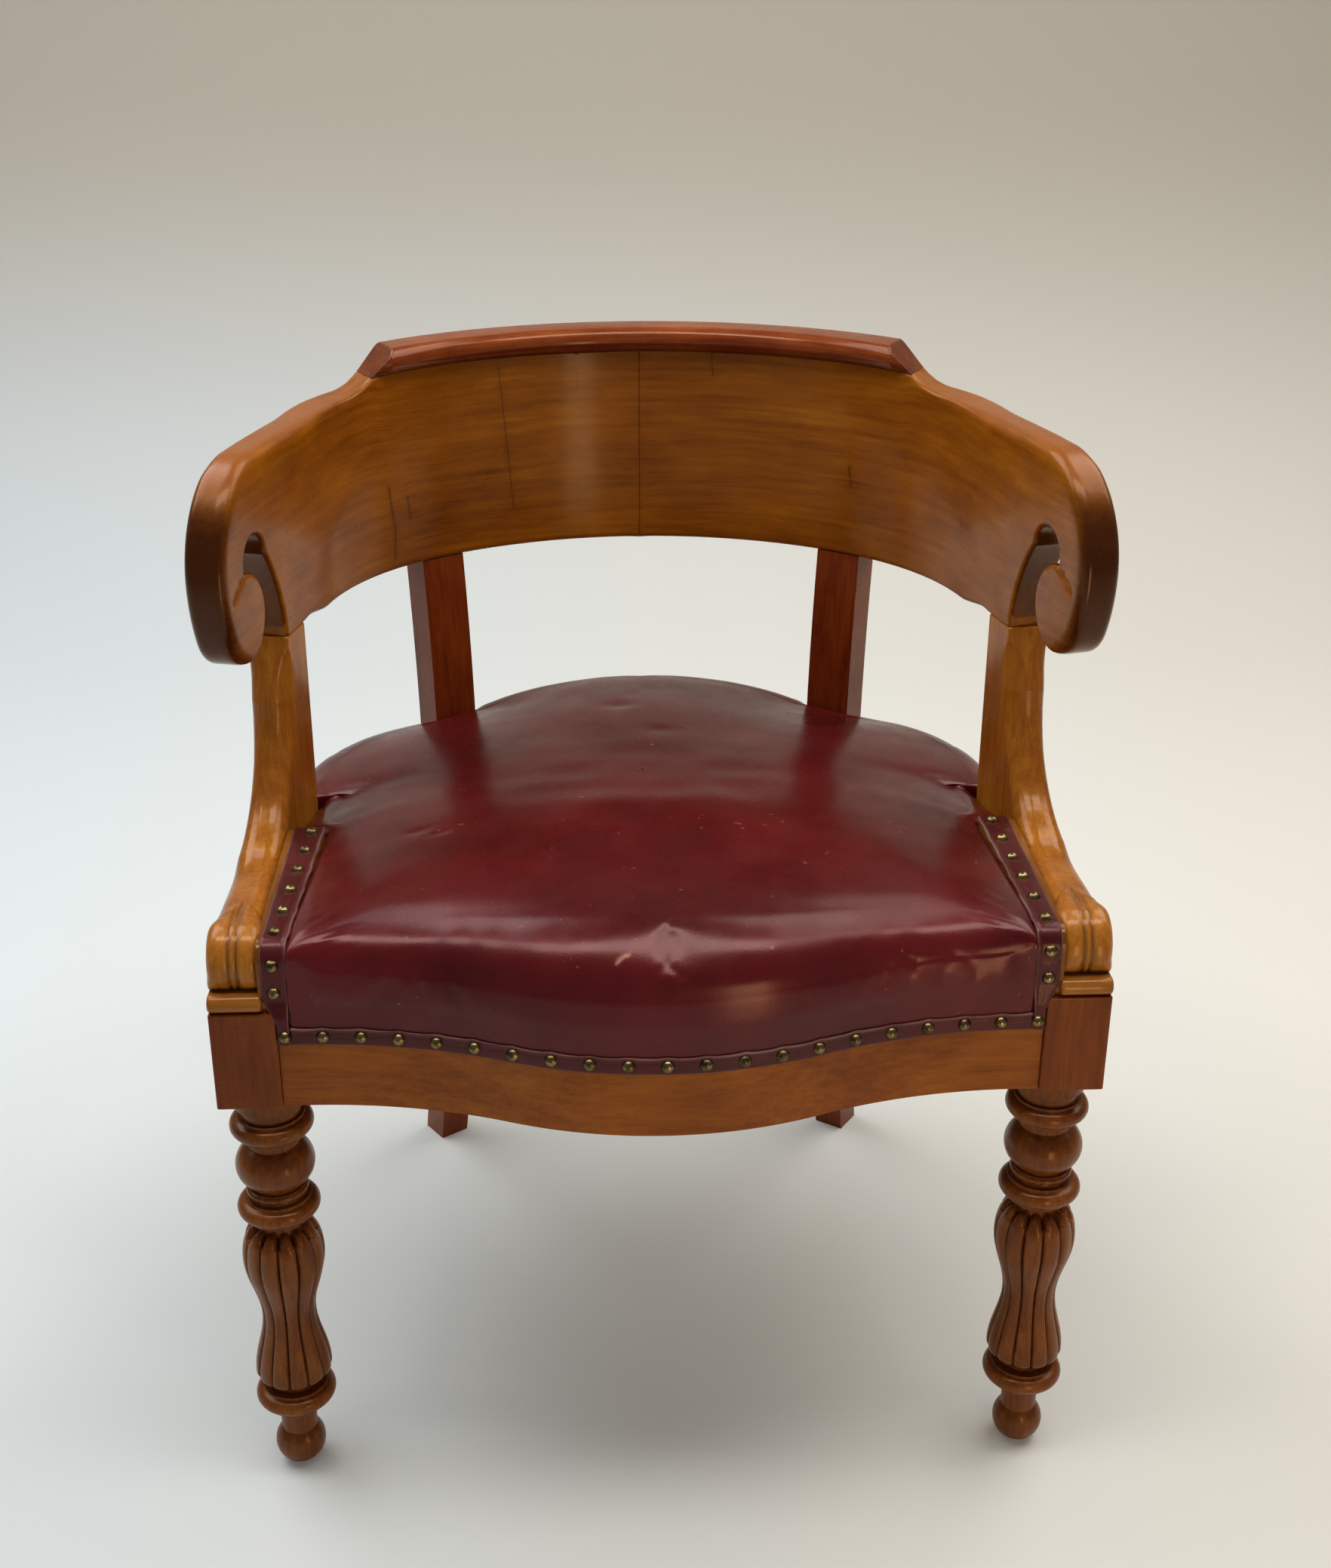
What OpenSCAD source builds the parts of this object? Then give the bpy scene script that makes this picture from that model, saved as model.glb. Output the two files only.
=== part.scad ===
// Desk armchair with a bentwood-shaped hooped back, crook arms and a sprung
// leather seat. All lengths are millimetres. The chair faces -Y,
// stands on Z = 0 and has its origin under the middle of its outline.

/* [Seat frame] */
// Distance between the axes of the two front legs
leg_spacing = 560; // [520:1:600]
// Height of the underside of the seat rails
rail_bottom = 335; // [320:1:350]
// Height of the front, side and back rails
rail_height = 76; // [70:1:82]
// Thickness of the front rail behind its bow
front_rail_thick = 30; // [26:1:34]
// Thickness of the side rails
side_rail_thick = 28; // [24:1:32]
// Thickness of the back rail
back_rail_thick = 26; // [22:1:30]
// How far the middle of the front rail bows forward of its ends
front_bow = 48; // [40:1:56]
// Share of the front rail's half length taken by the forward bow
bow_share = 0.43; // [0.38:0.01:0.48]
// Inward lean of the side rails from front to back
side_taper = 5; // [3:0.5:6]
// Radius of the rear corners of the seat
corner_r = 128; // [118:1:134]
// Distance from the front leg axis back to the rear corner centre
corner_y = 285; // [275:1:295]
// Radius of the outer face of the back rail
back_rail_r = 331; // [320:1:345]

/* [Front legs] */
// Width of the square block at the top of a front leg
block_w = 64; // [60:1:68]
// Depth of the block, front to back
block_d = 54; // [50:1:58]
// Width of the inner part of the block that the front rail laps over
lap_w = 18; // [15:1:20]
// Thickness of the cushion moulding on top of the block
moulding_h = 13; // [10:1:16]
// Diameter of the three turned collars
collar_d = 60; // [54:1:62]
// Diameter of the ball at the top of the leg
ball_d = 57; // [50:1:60]
// Largest diameter of the reeded vase
vase_d = 60; // [54:1:62]
// Diameter of the waist of the vase
waist_d = 40; // [36:1:44]
// Diameter of the ball foot
foot_ball_d = 38; // [34:1:42]
// Number of lobes round the vase
lobes = 12; // [10:1:14]
// Depth of the grooves between the lobes
groove_depth = 3.2; // [2:0.1:4]

/* [Rear legs] */
// Width of a rear leg across its front face at the seat
rear_leg_w = 40; // [37:1:43]
// Depth of a rear leg, front face to rear face
rear_leg_d = 28; // [24:1:32]
// Width of a rear leg at the floor
rear_foot_w = 28; // [25:1:31]
// Radius of the backward bow of a rear leg
rear_bow_r = 2267; // [2100:10:2500]
// Height at which the bow of a rear leg is furthest forward
rear_bow_z = 361; // [340:1:380]

/* [Back band and arms] */
// Height of the lower edge of the band
band_bottom = 593; // [585:1:600]
// Height of the upper edge of the band, under the crest
band_top = 757; // [750:1:765]
// Drop from the crest's seat to the upper edge of the arms
arm_drop = 7; // [6:1:10]
// Thickness of the band and arms
band_thick = 30; // [27:1:33]
// Distance from the front leg axis back to the inner face of the band
band_back_y = 475; // [460:1:490]
// Radius of the inner face across the back
back_r = 295; // [285:1:305]
// Radius of the inner face round each shoulder
shoulder_r = 205; // [198:1:212]
// Angle from the middle of the back at which the shoulder starts
shoulder_a = 35; // [33:0.5:37]
// Outward splay of the arms toward the front
arm_splay = 13; // [11:0.5:15]
// Height of the crest moulding
crest_h = 20; // [18:1:23]
// How far the rounded crest stands forward of the band
crest_proud = 8; // [6:1:10]
// Place of the ramp from the crest down to the arm, across the shoulder
ramp_x = 54; // [46:1:60]
// Radius of the hollow at the foot of that ramp
ramp_r = 55; // [48:1:62]

/* [Arm scrolls] */
// Distance from the back of the shoulder joint to the front of the support
arm_run = 96; // [88:1:104]
// Radius of the large front curve of the scroll
scroll_r = 78; // [72:1:82]
// Forward reach of the scroll from the front of the support
scroll_reach = 110; // [104:1:116]
// Radius of the round end of the scroll
eye_r = 33; // [30:1:35]
// Radius of the rounded top of the saw-cut slot
slot_r = 20; // [18:1:22]

/* [Arm supports] */
// Depth of the support where it meets the arm
support_d = 35; // [31:1:39]
// Width of the support at the knuckle
support_w = 37; // [35:1:39]
// Radius of the carved knuckle
knuckle_r = 24; // [22:1:26]
// Radius of the hollow curve from the knuckle up to the arm
sweep_r = 96; // [92:1:98]
// Width of the ledge beside the support that carries the leather
ledge_w = 18; // [16:1:20]
// Height of the ledge above the rails
ledge_h = 50; // [46:1:54]

/* [Upholstery] */
// Thickness of the leather cover
leather_t = 2; // [1.5:0.1:2.5]
// Height of the seat's front roll above the rails
front_roll = 57; // [52:1:62]
// Height of the seat's shoulder above the rails behind the arm supports
side_roll = 42; // [38:1:48]
// Height of the seat's rear edge above the rails at the middle of the back
rear_roll = 61; // [56:1:66]
// Height of the middle of the seat above the rails
crown = 79; // [72:1:86]
// Width of the leather strip under the nails
trim_w = 13; // [11:0.5:14]
// Thickness of the leather strip
trim_t = 1.5; // [1.2:0.1:2]
// Distance from the top of the rails down to the middle of the strip
trim_drop = 18; // [15:1:22]
// Diameter of a nail head
nail_d = 9.5; // [8:0.5:10.5]
// Height of a nail head
nail_h = 3.6; // [3:0.1:4.2]
// Number of nails along the front rail
front_nail_count = 21; // [17:2:25]
// Width of a strip of seat webbing
web_w = 50; // [44:1:54]
// Thickness of the webbing
web_t = 2; // [1.6:0.1:2.4]
// Distance between neighbouring strips of webbing
web_pitch = 105; // [98:1:110]
// Diameter of the spring wire
spring_wire = 3.2; // [2.8:0.1:3.8]
// Radius of the end curls of a spring
spring_r = 36; // [30:1:40]

/* [Hidden] */
$fn = 48;

wood = "saddlebrown";
pale_wood = "peru";
fit = 0.2;
soft_gap = 0.3;
// Room for the flat facets of the cover over the curved rails
facet_room = 0.6;
rail_top = rail_bottom + rail_height;
half_leg = leg_spacing / 2;
block_front = -block_d / 2;
outer_x = half_leg + block_w / 2;
lap_x = half_leg - block_w / 2 + lap_w;
rail_front = block_front + 4;
crest_top = band_top + crest_h;

// Plan of the seat frame: the rear corner arcs and the back arc
rail_inset = 4;
side_x0 = outer_x - rail_inset;
corner_x = side_x0 - (corner_y - block_d / 2) * tan(side_taper) - corner_r / cos(side_taper);

// Plan of the band: back arc, shoulder arcs and straight arms
back_cy = band_back_y - back_r;
shoulder_end = 90 - arm_splay;
sh_x = (back_r - shoulder_r) * sin(shoulder_a);
sh_y = back_cy + (back_r - shoulder_r) * cos(shoulder_a);
arm_x = sh_x + shoulder_r * sin(shoulder_end);
arm_y = sh_y + shoulder_r * cos(shoulder_end);

// Rear legs stand under the band where back and shoulder arcs meet
leg_inset = 1;
leg_a = shoulder_a;
joint_x = back_r * sin(leg_a);
joint_y = back_cy + back_r * cos(leg_a);
rise_top = band_bottom - rear_bow_z;
top_out = rear_bow_r - sqrt(rear_bow_r * rear_bow_r - rise_top * rise_top);
leg_push = leg_inset - top_out;
tenon_h = 30;

back_arc_y = joint_y + (leg_push + 11) * cos(leg_a);
back_arc_x = joint_x + (leg_push + 11) * sin(leg_a) - rear_leg_w / 2 * cos(leg_a);
back_rail_cy = back_arc_y - sqrt(back_rail_r * back_rail_r - back_arc_x * back_arc_x) + 12;
back_rail_y = back_rail_cy + back_rail_r;

// Distance from the rails out to the back of the leather strips
strip_in = soft_gap + facet_room + leather_t + 0.4;

// Middle of the whole depth, which becomes Y = 0
front_y = rail_front - front_bow - strip_in - trim_t - nail_h;
mid_y = (front_y + band_back_y + band_thick) / 2;

// Arm support, seen from the side
seam_y = arm_y - arm_run * cos(arm_splay);
seam_in_x = arm_x + arm_run * sin(arm_splay);
block_top = rail_top + moulding_h;

module place() {
    translate([0, -mid_y, 0]) children();
}

module side(s) {
    if (s > 0) children();
    else mirror([1, 0, 0]) children();
}

// Turned front leg

neck_d = 27;
collar_h = 13;
groove_w = 3;
leg_top = rail_bottom;
foot_r = foot_ball_d / 2;
foot_z = foot_r - 1.5;
collar_low = 66;
collar_mid = 238;
collar_high = 308;
vase_low = collar_low + 16;
vase_high = collar_mid - 17;
vase_len = vase_high - vase_low;
function mix(a, b, t) = a + (b - a) * t;
function ease(t) = (1 - cos(180 * t)) / 2;
function vase_r(t) =
    t < 0.06 ? mix(vase_d * 0.40, vase_d * 0.475, sin(90 * t / 0.06))
    : t < 0.42 ? mix(vase_d * 0.475, waist_d / 2, ease((t - 0.06) / 0.36))
    : t < 0.80 ? mix(waist_d / 2, vase_d / 2, ease((t - 0.42) / 0.38))
    : mix(vase_d * 0.30, vase_d / 2, sqrt(max(0, 1 - pow((t - 0.80) / 0.20, 2))));

// Lobed surface: round lobes meet in narrow grooves, and die out at the ends
lobe_steps = 6;
vase_rings = 20;
function vase_t(k) = k / vase_rings - 0.055 * sin(360 * k / vase_rings);
function lobe_cut(i) = groove_depth * (1 - sqrt(1 - pow(2 * (i % lobe_steps) / lobe_steps - 1, 4)));
function vase_point(k, i) =
    let (t = vase_t(k), a = 360 * i / (lobes * lobe_steps),
        r = vase_r(t) - lobe_cut(i) * vase_r(t) / (vase_d / 2))
    [r * cos(a), r * sin(a), vase_low + vase_len * t];
vase_n = lobes * lobe_steps;
function neck_ring(r, z) =
    [for (i = [0:vase_n - 1]) [r * cos(360 * i / vase_n), r * sin(360 * i / vase_n), z]];

// The vase with the plain necks that run from it into the collars
module lobed_vase() {
    low_neck = neck_d / 2 + 4;
    high_neck = neck_d / 2 + 2;
    rings = vase_rings + 4;
    polyhedron(
        concat(neck_ring(low_neck, collar_low), neck_ring(low_neck, vase_low + 0.6),
            [for (k = [0:vase_rings]) for (i = [0:vase_n - 1]) vase_point(k, i)],
            neck_ring(high_neck, vase_high - 0.3), neck_ring(high_neck, collar_mid)),
        concat(
            [for (k = [0:rings - 1]) for (i = [0:vase_n - 1])
                [(k + 1) * vase_n + i, k * vase_n + (i + 1) % vase_n, k * vase_n + i]],
            [for (k = [0:rings - 1]) for (i = [0:vase_n - 1]) [(k + 1) * vase_n + i,
                (k + 1) * vase_n + (i + 1) % vase_n, k * vase_n + (i + 1) % vase_n]],
            [[for (i = [0:vase_n - 1]) i]],
            [[for (i = [0:vase_n - 1]) rings * vase_n + vase_n - 1 - i]]));
}

module collar(z, d) {
    translate([0, 0, z]) rotate_extrude() {
        translate([d / 2 - collar_h / 2, 0]) circle(d = collar_h);
        translate([0, -collar_h / 2]) square([d / 2 - collar_h / 2, collar_h]);
    }
    // Small fillets above and below the torus
    translate([0, 0, z - collar_h / 2 - groove_w]) cylinder(d = d * 0.80, h = groove_w + 1);
    translate([0, 0, z + collar_h / 2 - 1]) cylinder(d = d * 0.80, h = groove_w + 1);
}

module cove(z, h, d_big, d_small) {
    translate([0, 0, z]) rotate_extrude() difference() {
        square([d_big / 2, h]);
        translate([d_small / 2 + h * 0.75, h / 2]) circle(r = h * 0.75);
    }
}

module turned_leg() {
    // Ball foot with a small flat, and the neck above it
    difference() {
        translate([0, 0, foot_z]) sphere(d = foot_ball_d);
        translate([0, 0, -10]) cylinder(d = foot_ball_d, h = 10);
    }
    translate([0, 0, foot_z + foot_r - 4]) cylinder(d = neck_d, h = collar_low - foot_z - foot_r);
    collar(collar_low, collar_d);
    lobed_vase();
    collar(collar_mid, collar_d);
    cove(collar_mid + collar_h / 2 + 2, 9, ball_d * 0.80, ball_d * 0.64);
    // Upper ball with a fillet on each side
    ball_z = (collar_mid + collar_high) / 2 + 1;
    translate([0, 0, ball_z]) rotate_extrude() intersection() {
        translate([ball_d / 2 - 19, 0]) circle(r = 19);
        translate([0, -17]) square([ball_d, 34]);
    }
    translate([0, 0, collar_mid]) cylinder(d = ball_d - 20, h = collar_high - collar_mid);
    collar(collar_high, collar_d);
    cove(collar_high + collar_h / 2 + 2, 8, collar_d * 0.80, collar_d * 0.66);
    translate([0, 0, collar_high]) cylinder(d = collar_d * 0.72, h = leg_top - collar_high);
}

module leg_block() {
    difference() {
        translate([-block_w / 2, -block_d / 2, rail_bottom]) cube([block_w, block_d, rail_height]);
        // Rebate for the lapped end of the front rail
        translate([-block_w / 2 - 1, -block_d / 2 - 1, rail_bottom - 1])
            cube([lap_w + 1, front_rail_thick + 5 + fit, rail_height + 2]);
    }
    // Cushion moulding with a rounded edge on top of the outer part
    translate([block_w / 2 - support_w, 0, rail_top]) rounded_slab(support_w, block_d, moulding_h);
}

module rounded_slab(w, d, h) {
    intersection() {
        translate([0, -d / 2 - 1, 0]) cube([w + 1, d + 1, h]);
        translate([0, 0, h / 2]) rotate([0, 90, 0]) linear_extrude(w) {
            square([h, d - h + 2], center = true);
            for (s = [-1, 1]) translate([0, s * (d / 2 + 1 - h / 2)]) circle(d = h);
        }
    }
}

module front_leg(s) {
    side(s) color(wood) place() translate([half_leg, 0, 0]) difference() {
        union() {
            turned_leg();
            leg_block();
        }
        translate([block_w / 2 - dowel_in, 0, block_top - dowel_deep])
            cylinder(d = dowel_d + fit, h = dowel_deep + 1);
    }
}

// Front rail: a forward bow between two hollow curves

front_half = lap_x;
bow_a = 2 * atan(front_bow / (front_half - lap_w));
bow_span = front_half - lap_w;
bow_r = bow_span * bow_share / sin(bow_a);
hollow_r = bow_span * (1 - bow_share) / sin(bow_a);
bow_cy = rail_front - front_bow + bow_r;
hollow_cy = rail_front - hollow_r;

// Place of the bowed face at x, moved out by m
function face_y(x, m) =
    abs(x) < bow_span * bow_share + m * sin(bow_a) ? bow_cy - sqrt(pow(bow_r + m, 2) - x * x)
    : abs(x) < bow_span ? hollow_cy + sqrt(pow(hollow_r - m, 2) - pow(bow_span - abs(x), 2))
    : rail_front - m;

face_steps = 29;

// Points along the face from the left to the right, half wide each way
function face_line(half, m) =
    [for (k = [-face_steps:face_steps]) let (x = half * k / face_steps) [x, face_y(x, m)]];
function reversed(line) = [for (k = [len(line) - 1:-1:0]) line[k]];

module front_rail() {
    color(pale_wood) place() translate([0, 0, rail_bottom]) linear_extrude(rail_height)
        polygon(concat(face_line(front_half, 0), [[front_half, rail_front + front_rail_thick],
            [-front_half, rail_front + front_rail_thick]]));
}

// Side rails: a leaning straight run and a rear corner arc

module frame_half_outer(m) {
    // Right half of the plan of the frame, grown by m
    run = corner_y - block_d / 2;
    polygon([[0, block_d / 2], [side_x0 + m, block_d / 2],
        [corner_x + (corner_r + m) * cos(side_taper), corner_y + (corner_r + m) * sin(side_taper)],
        [corner_x, corner_y], [0, corner_y]]);
    translate([corner_x, corner_y]) circle(r = corner_r + m, $fn = 120);
    intersection() {
        translate([0, back_rail_cy]) circle(r = back_rail_r + m, $fn = 240);
        translate([0, corner_y]) square([mitre_x, 400]);
    }
}

mitre_x = joint_x + leg_push * sin(leg_a);
mitre_y = joint_y + leg_push * cos(leg_a);

// Region on the outer side of the leg's middle plane
module beyond_leg(w) {
    translate([mitre_x, mitre_y]) rotate(-leg_a) translate([w, -200]) square([400, 400]);
}

module leg_notch() {
    translate([mitre_x, mitre_y]) rotate(-leg_a)
        translate([-rear_leg_w / 2 - fit, -fit]) square([rear_leg_w + 2 * fit, rear_leg_d + 60]);
}

module side_rail(s) {
    side(s) color(wood) place() translate([0, 0, rail_bottom]) linear_extrude(rail_height) difference() {
        frame_half_outer(0);
        frame_half_outer(-side_rail_thick);
        square([corner_x, corner_y]);
        difference() {
            translate([0, corner_y]) square([400, 400]);
            beyond_leg(fit / 2);
        }
        leg_notch();
        translate([0, 0]) square([400, block_d / 2 + fit]);
    }
}

module back_rail() {
    color(wood) place() translate([0, 0, rail_bottom]) linear_extrude(rail_height) difference() {
        union() {
            for (s = [-1, 1]) scale([s, 1]) frame_half_outer(0);
        }
        for (s = [-1, 1]) scale([s, 1]) {
            frame_half_outer(-back_rail_thick);
            beyond_leg(-fit / 2);
            leg_notch();
        }
        translate([-400, -10]) square([800, mitre_y - side_rail_thick - 8]);
    }
}

// Rear leg: one bowed piece from the floor to the band

module rear_leg_side() {
    // Side view in the leg's own plane: x is outward, y is up
    intersection() {
        difference() {
            translate([rear_bow_r, rear_bow_z]) circle(r = rear_bow_r, $fn = 360);
            translate([rear_bow_r, rear_bow_z]) circle(r = rear_bow_r - rear_leg_d, $fn = 360);
        }
        translate([-5, 0]) square([150, band_bottom]);
    }
}

module rear_leg(s) {
    side(s) color(wood) place() translate([mitre_x, mitre_y, 0]) rotate([0, 0, -leg_a]) {
        intersection() {
            rotate([90, 0, 90]) translate([0, 0, -rear_leg_w / 2]) linear_extrude(rear_leg_w)
                rear_leg_side();
            // Front view: straight on the outer side, tapered inside below the seat
            rotate([90, 0, 0]) linear_extrude(400, center = true)
                polygon([[rear_leg_w / 2 - rear_foot_w, -1], [rear_leg_w / 2, -1],
                    [rear_leg_w / 2, band_bottom + 1], [-rear_leg_w / 2, band_bottom + 1],
                    [-rear_leg_w / 2, rail_bottom]]);
        }
        // Tenon up into the band
        translate([-tenon_w / 2, top_out + tenon_in, band_bottom - 5])
            cube([tenon_w, tenon_t, tenon_h + 5]);
    }
}

tenon_w = 26;
tenon_t = 10;
tenon_in = 8;

// Back band: two halves glued at the middle

arc_step = 1.75;
back_steps = ceil(shoulder_a / arc_step);
shoulder_steps = ceil((shoulder_end - shoulder_a) / arc_step);

// Line of the wall, m out from its inner face, from the middle back to the arm
function wall_line(m) = concat(
    [for (k = [0:back_steps]) let (a = shoulder_a * k / back_steps)
        [(back_r + m) * sin(a), back_cy + (back_r + m) * cos(a)]],
    [for (k = [1:shoulder_steps]) let (a = mix(shoulder_a, shoulder_end, k / shoulder_steps))
        [sh_x + (shoulder_r + m) * sin(a), sh_y + (shoulder_r + m) * cos(a)]]);

module band_plan() {
    // Right half: the hoop's wall and the straight arm in one strip
    ahead = [sin(arm_splay), -cos(arm_splay)] * (arm_run + scroll_reach + 5);
    inner = wall_line(0);
    outer = wall_line(band_thick);
    polygon(concat(inner, [inner[len(inner) - 1] + ahead, outer[len(outer) - 1] + ahead], reversed(outer)));
}

// Arm outline from the side: x runs forward from the end of the shoulder, y is up
arm_top = band_top - arm_drop;
front_x = arm_run + scroll_reach;
front_z = arm_top - scroll_r;
eye_x = front_x - 40;
eye_z = arm_top - 112;
seam_z = band_bottom + 7;
drop_r = (pow(front_x - eye_x, 2) + pow(front_z - eye_z, 2) - eye_r * eye_r)
    / (2 * (front_x - eye_x - eye_r));
drop_a = atan2(front_z - eye_z, eye_x - front_x + drop_r);

module arm_side() {
    difference() {
        union() {
            // The hoop and the straight arm, then the curve over the front
            translate([-600, band_bottom - 5]) square([600 + arm_run, band_top + 10 - band_bottom]);
            intersection() {
                translate([arm_run - 1, front_z]) square([scroll_reach + 2, scroll_r + 1]);
                union() {
                    translate([front_x - scroll_r, front_z]) circle(r = scroll_r, $fn = 180);
                    translate([0, front_z]) square([front_x - scroll_r, scroll_r]);
                }
            }
            // Long falling curve down to the round end
            intersection() {
                translate([front_x - drop_r, front_z]) circle(r = drop_r, $fn = 240);
                polygon([[front_x - drop_r, front_z + 0.01], [front_x + 2, front_z + 0.01],
                    [front_x + 2, eye_z - 40], [eye_x + eye_r * cos(drop_a), eye_z - eye_r * sin(drop_a)],
                    [eye_x, eye_z], [arm_run + 6, front_z]]);
            }
            translate([eye_x, eye_z]) circle(r = eye_r, $fn = 120);
        }
        slot_area();
        // Lower edge of the arm rises a little to the support
        polygon([[-10, band_bottom - 10], [arm_run + 20, band_bottom - 10], [arm_run + 20, seam_z],
            [arm_run - support_d - 8, seam_z], [0, band_bottom]]);
    }
}

module slot_area() {
    slot_x = arm_run + 50;
    slot_z = arm_top - 76;
    difference() {
        union() {
            translate([slot_x, slot_z]) circle(r = slot_r, $fn = 90);
            // Tapering gap between the round end and the lug over the support
            polygon(concat([[arm_run, seam_z - 20]],
                [for (k = [0:8]) let (a = 10 * k) [slot_x - slot_r - 27 * cos(a) * cos(a) - 3 * cos(a),
                    seam_z - 4 + (slot_z - seam_z + 4) * sin(a)]],
                [[slot_x, slot_z], [slot_x + slot_r * 0.9, slot_z - slot_r * 0.4], [eye_x, eye_z],
                [eye_x - 8, seam_z - 20]]));
        }
        translate([eye_x, eye_z]) circle(r = eye_r, $fn = 120);
    }
}

// Cutter for the shoulders: a ramp and a hollow down from the crest, then the
// arms' upper edge. Drawn from the front, turned to cut square across the wall
ramp_a = 42;
cut_turn = 27;

module shoulder_cut() {
    low = arm_top - 3;
    foot_x = ramp_x - ramp_r * sin(ramp_a);
    foot_z = low + ramp_r * (1 - cos(ramp_a));
    high = crest_top + 10;
    rotate([0, 0, -cut_turn]) translate([0, 900, 0]) rotate([90, 0, 0]) linear_extrude(1100) {
        translate([ramp_x, low + ramp_r]) circle(r = ramp_r, $fn = 120);
        polygon([[foot_x - (high - foot_z) / tan(ramp_a), high], [foot_x, foot_z],
            [ramp_x, low + ramp_r], [ramp_x, low], [ramp_x + 40, low], [ramp_x + 110, arm_top + 0.01],
            [600, arm_top + 0.01], [600, high]]);
    }
}

module band_half(s) {
    side(s) color(wood) place() difference() {
        intersection() {
            translate([0, 0, band_bottom]) linear_extrude(band_top - band_bottom) band_plan();
            arm_mask();
        }
        shoulder_cut();
        // Mortise for the rear leg
        translate([mitre_x, mitre_y, 0]) rotate([0, 0, -leg_a])
            translate([-tenon_w / 2 - fit, top_out + tenon_in - fit, band_bottom - 1])
            cube([tenon_w + 2 * fit, tenon_t + 2 * fit, tenon_h + 1 + fit]);
        // Holes for the dowels across the middle joint
        for (z = band_dowel_z) translate([-1, band_back_y + band_thick / 2, z]) rotate([0, 90, 0])
            cylinder(d = dowel_d + fit, h = dowel_len / 2 + 1.5);
        translate([seam_mid_x, seam_mid_y, seam_z - 1])
            cylinder(d = dowel_d + fit, h = dowel_len / 2 + 1.5);
    }
}

module arm_mask() {
    // Side outline of the arm, square across the splayed arm, and all behind it
    translate([arm_x, arm_y, 0]) rotate([0, 0, -90 + arm_splay]) rotate([90, 0, 0])
        linear_extrude(1400, center = true) arm_side();
}

dowel_d = 9;
dowel_len = 40;
dowel_deep = 22;
dowel_in = 18;
band_dowel_z = [band_bottom + 45, band_top - 45];
seam_mid_x = arm_x + (arm_run - support_d / 2) * sin(arm_splay) + band_thick / 2 * cos(arm_splay);
seam_mid_y = arm_y - (arm_run - support_d / 2) * cos(arm_splay) + band_thick / 2 * sin(arm_splay);

module band_dowels() {
    color("burlywood") place() for (z = band_dowel_z)
        translate([-dowel_len / 2, band_back_y + band_thick / 2, z]) rotate([0, 90, 0])
            cylinder(d = dowel_d, h = dowel_len);
}

// Crest moulding along the top of the band

// Section of the crest: distance out from the band's inner face, and height
nose_steps = 6;
crest_section = concat(
    [for (k = [0:nose_steps]) let (a = 180 * k / nose_steps)
        [-crest_proud + crest_h / 2 * (1 - sin(a)), crest_h / 2 * (1 - cos(a))]],
    [[band_thick, crest_h], [band_thick, 0]]);

function mirrored_line(line) = concat([for (k = [len(line) - 1:-1:1]) [-line[k][0], line[k][1]]], line);

module crest_rail() {
    lines = [for (q = crest_section) mirrored_line(wall_line(q[0]))];
    n = len(crest_section);
    // The crest ends on the shoulders, a little beyond the ramps that cut it
    over = ceil(shoulder_steps * 0.25);
    first = over;
    last = len(lines[0]) - 1 - over;
    color(wood) place() difference() {
        polyhedron(
            [for (k = [first:last]) for (i = [0:n - 1])
                [lines[i][k][0], lines[i][k][1], band_top + crest_section[i][1]]],
            concat(
                [for (k = [0:last - first - 1]) for (i = [0:n - 1])
                    [k * n + i, (k + 1) * n + i, k * n + (i + 1) % n]],
                [for (k = [0:last - first - 1]) for (i = [0:n - 1])
                    [(k + 1) * n + i, (k + 1) * n + (i + 1) % n, k * n + (i + 1) % n]],
                [[for (i = [0:n - 1]) i]],
                [[for (i = [0:n - 1]) (last - first) * n + n - 1 - i]]));
        // Ends cut with the same ramp as the shoulders
        for (s = [-1, 1]) side(s) shoulder_cut();
    }
}

// Arm support

knuckle_y = 3;
knuckle_z = block_top + 16;
sweep_y = seam_y - 12 - sweep_r;
sweep_z = seam_z - 48;

module support_side() {
    // Side view: x is back (+Y), y is up
    difference() {
        union() {
            intersection() {
                translate([knuckle_y, knuckle_z]) circle(r = knuckle_r, $fn = 90);
                translate([-100, block_top + fit]) square([200, 200]);
            }
            polygon([[knuckle_y, block_top + fit], [block_d / 2 + fit, block_top + fit],
                [block_d / 2 + fit, rail_top + fit], [seam_y + support_d, rail_top + fit],
                [seam_y + support_d, seam_z], [seam_y, seam_z], [sweep_y + sweep_r, sweep_z],
                [sweep_y, sweep_z], [sweep_y, sweep_z - sweep_r], [knuckle_y + 36, knuckle_z + knuckle_r - 1],
                [knuckle_y, knuckle_z + knuckle_r]]);
        }
        translate([sweep_y, sweep_z]) circle(r = sweep_r, $fn = 180);
    }
}

module support_plan() {
    // Plan: straight at the knuckle, following the splayed arm at the back
    x0 = outer_x - support_w;
    rear_in = seam_in_x - support_d * tan(arm_splay);
    wide = band_thick / cos(arm_splay);
    polygon([[x0, -60], [x0, 60], [x0 + 3, 130], [x0 + 2, seam_y - 14], [seam_in_x, seam_y],
        [rear_in, seam_y + support_d], [rear_in + wide, seam_y + support_d],
        [seam_in_x + wide + 1, seam_y - 14], [outer_x, 130], [outer_x, -60]]);
}

ledge_x = outer_x - support_w - ledge_w;
ledge_front = rail_front;
ledge_back = 158;
// The ledge leans inward from front to back like the rail beside it
ledge_lean = side_taper / 2;
function ledge_in(y) = ledge_x - (y - ledge_front) * tan(ledge_lean);

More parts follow.
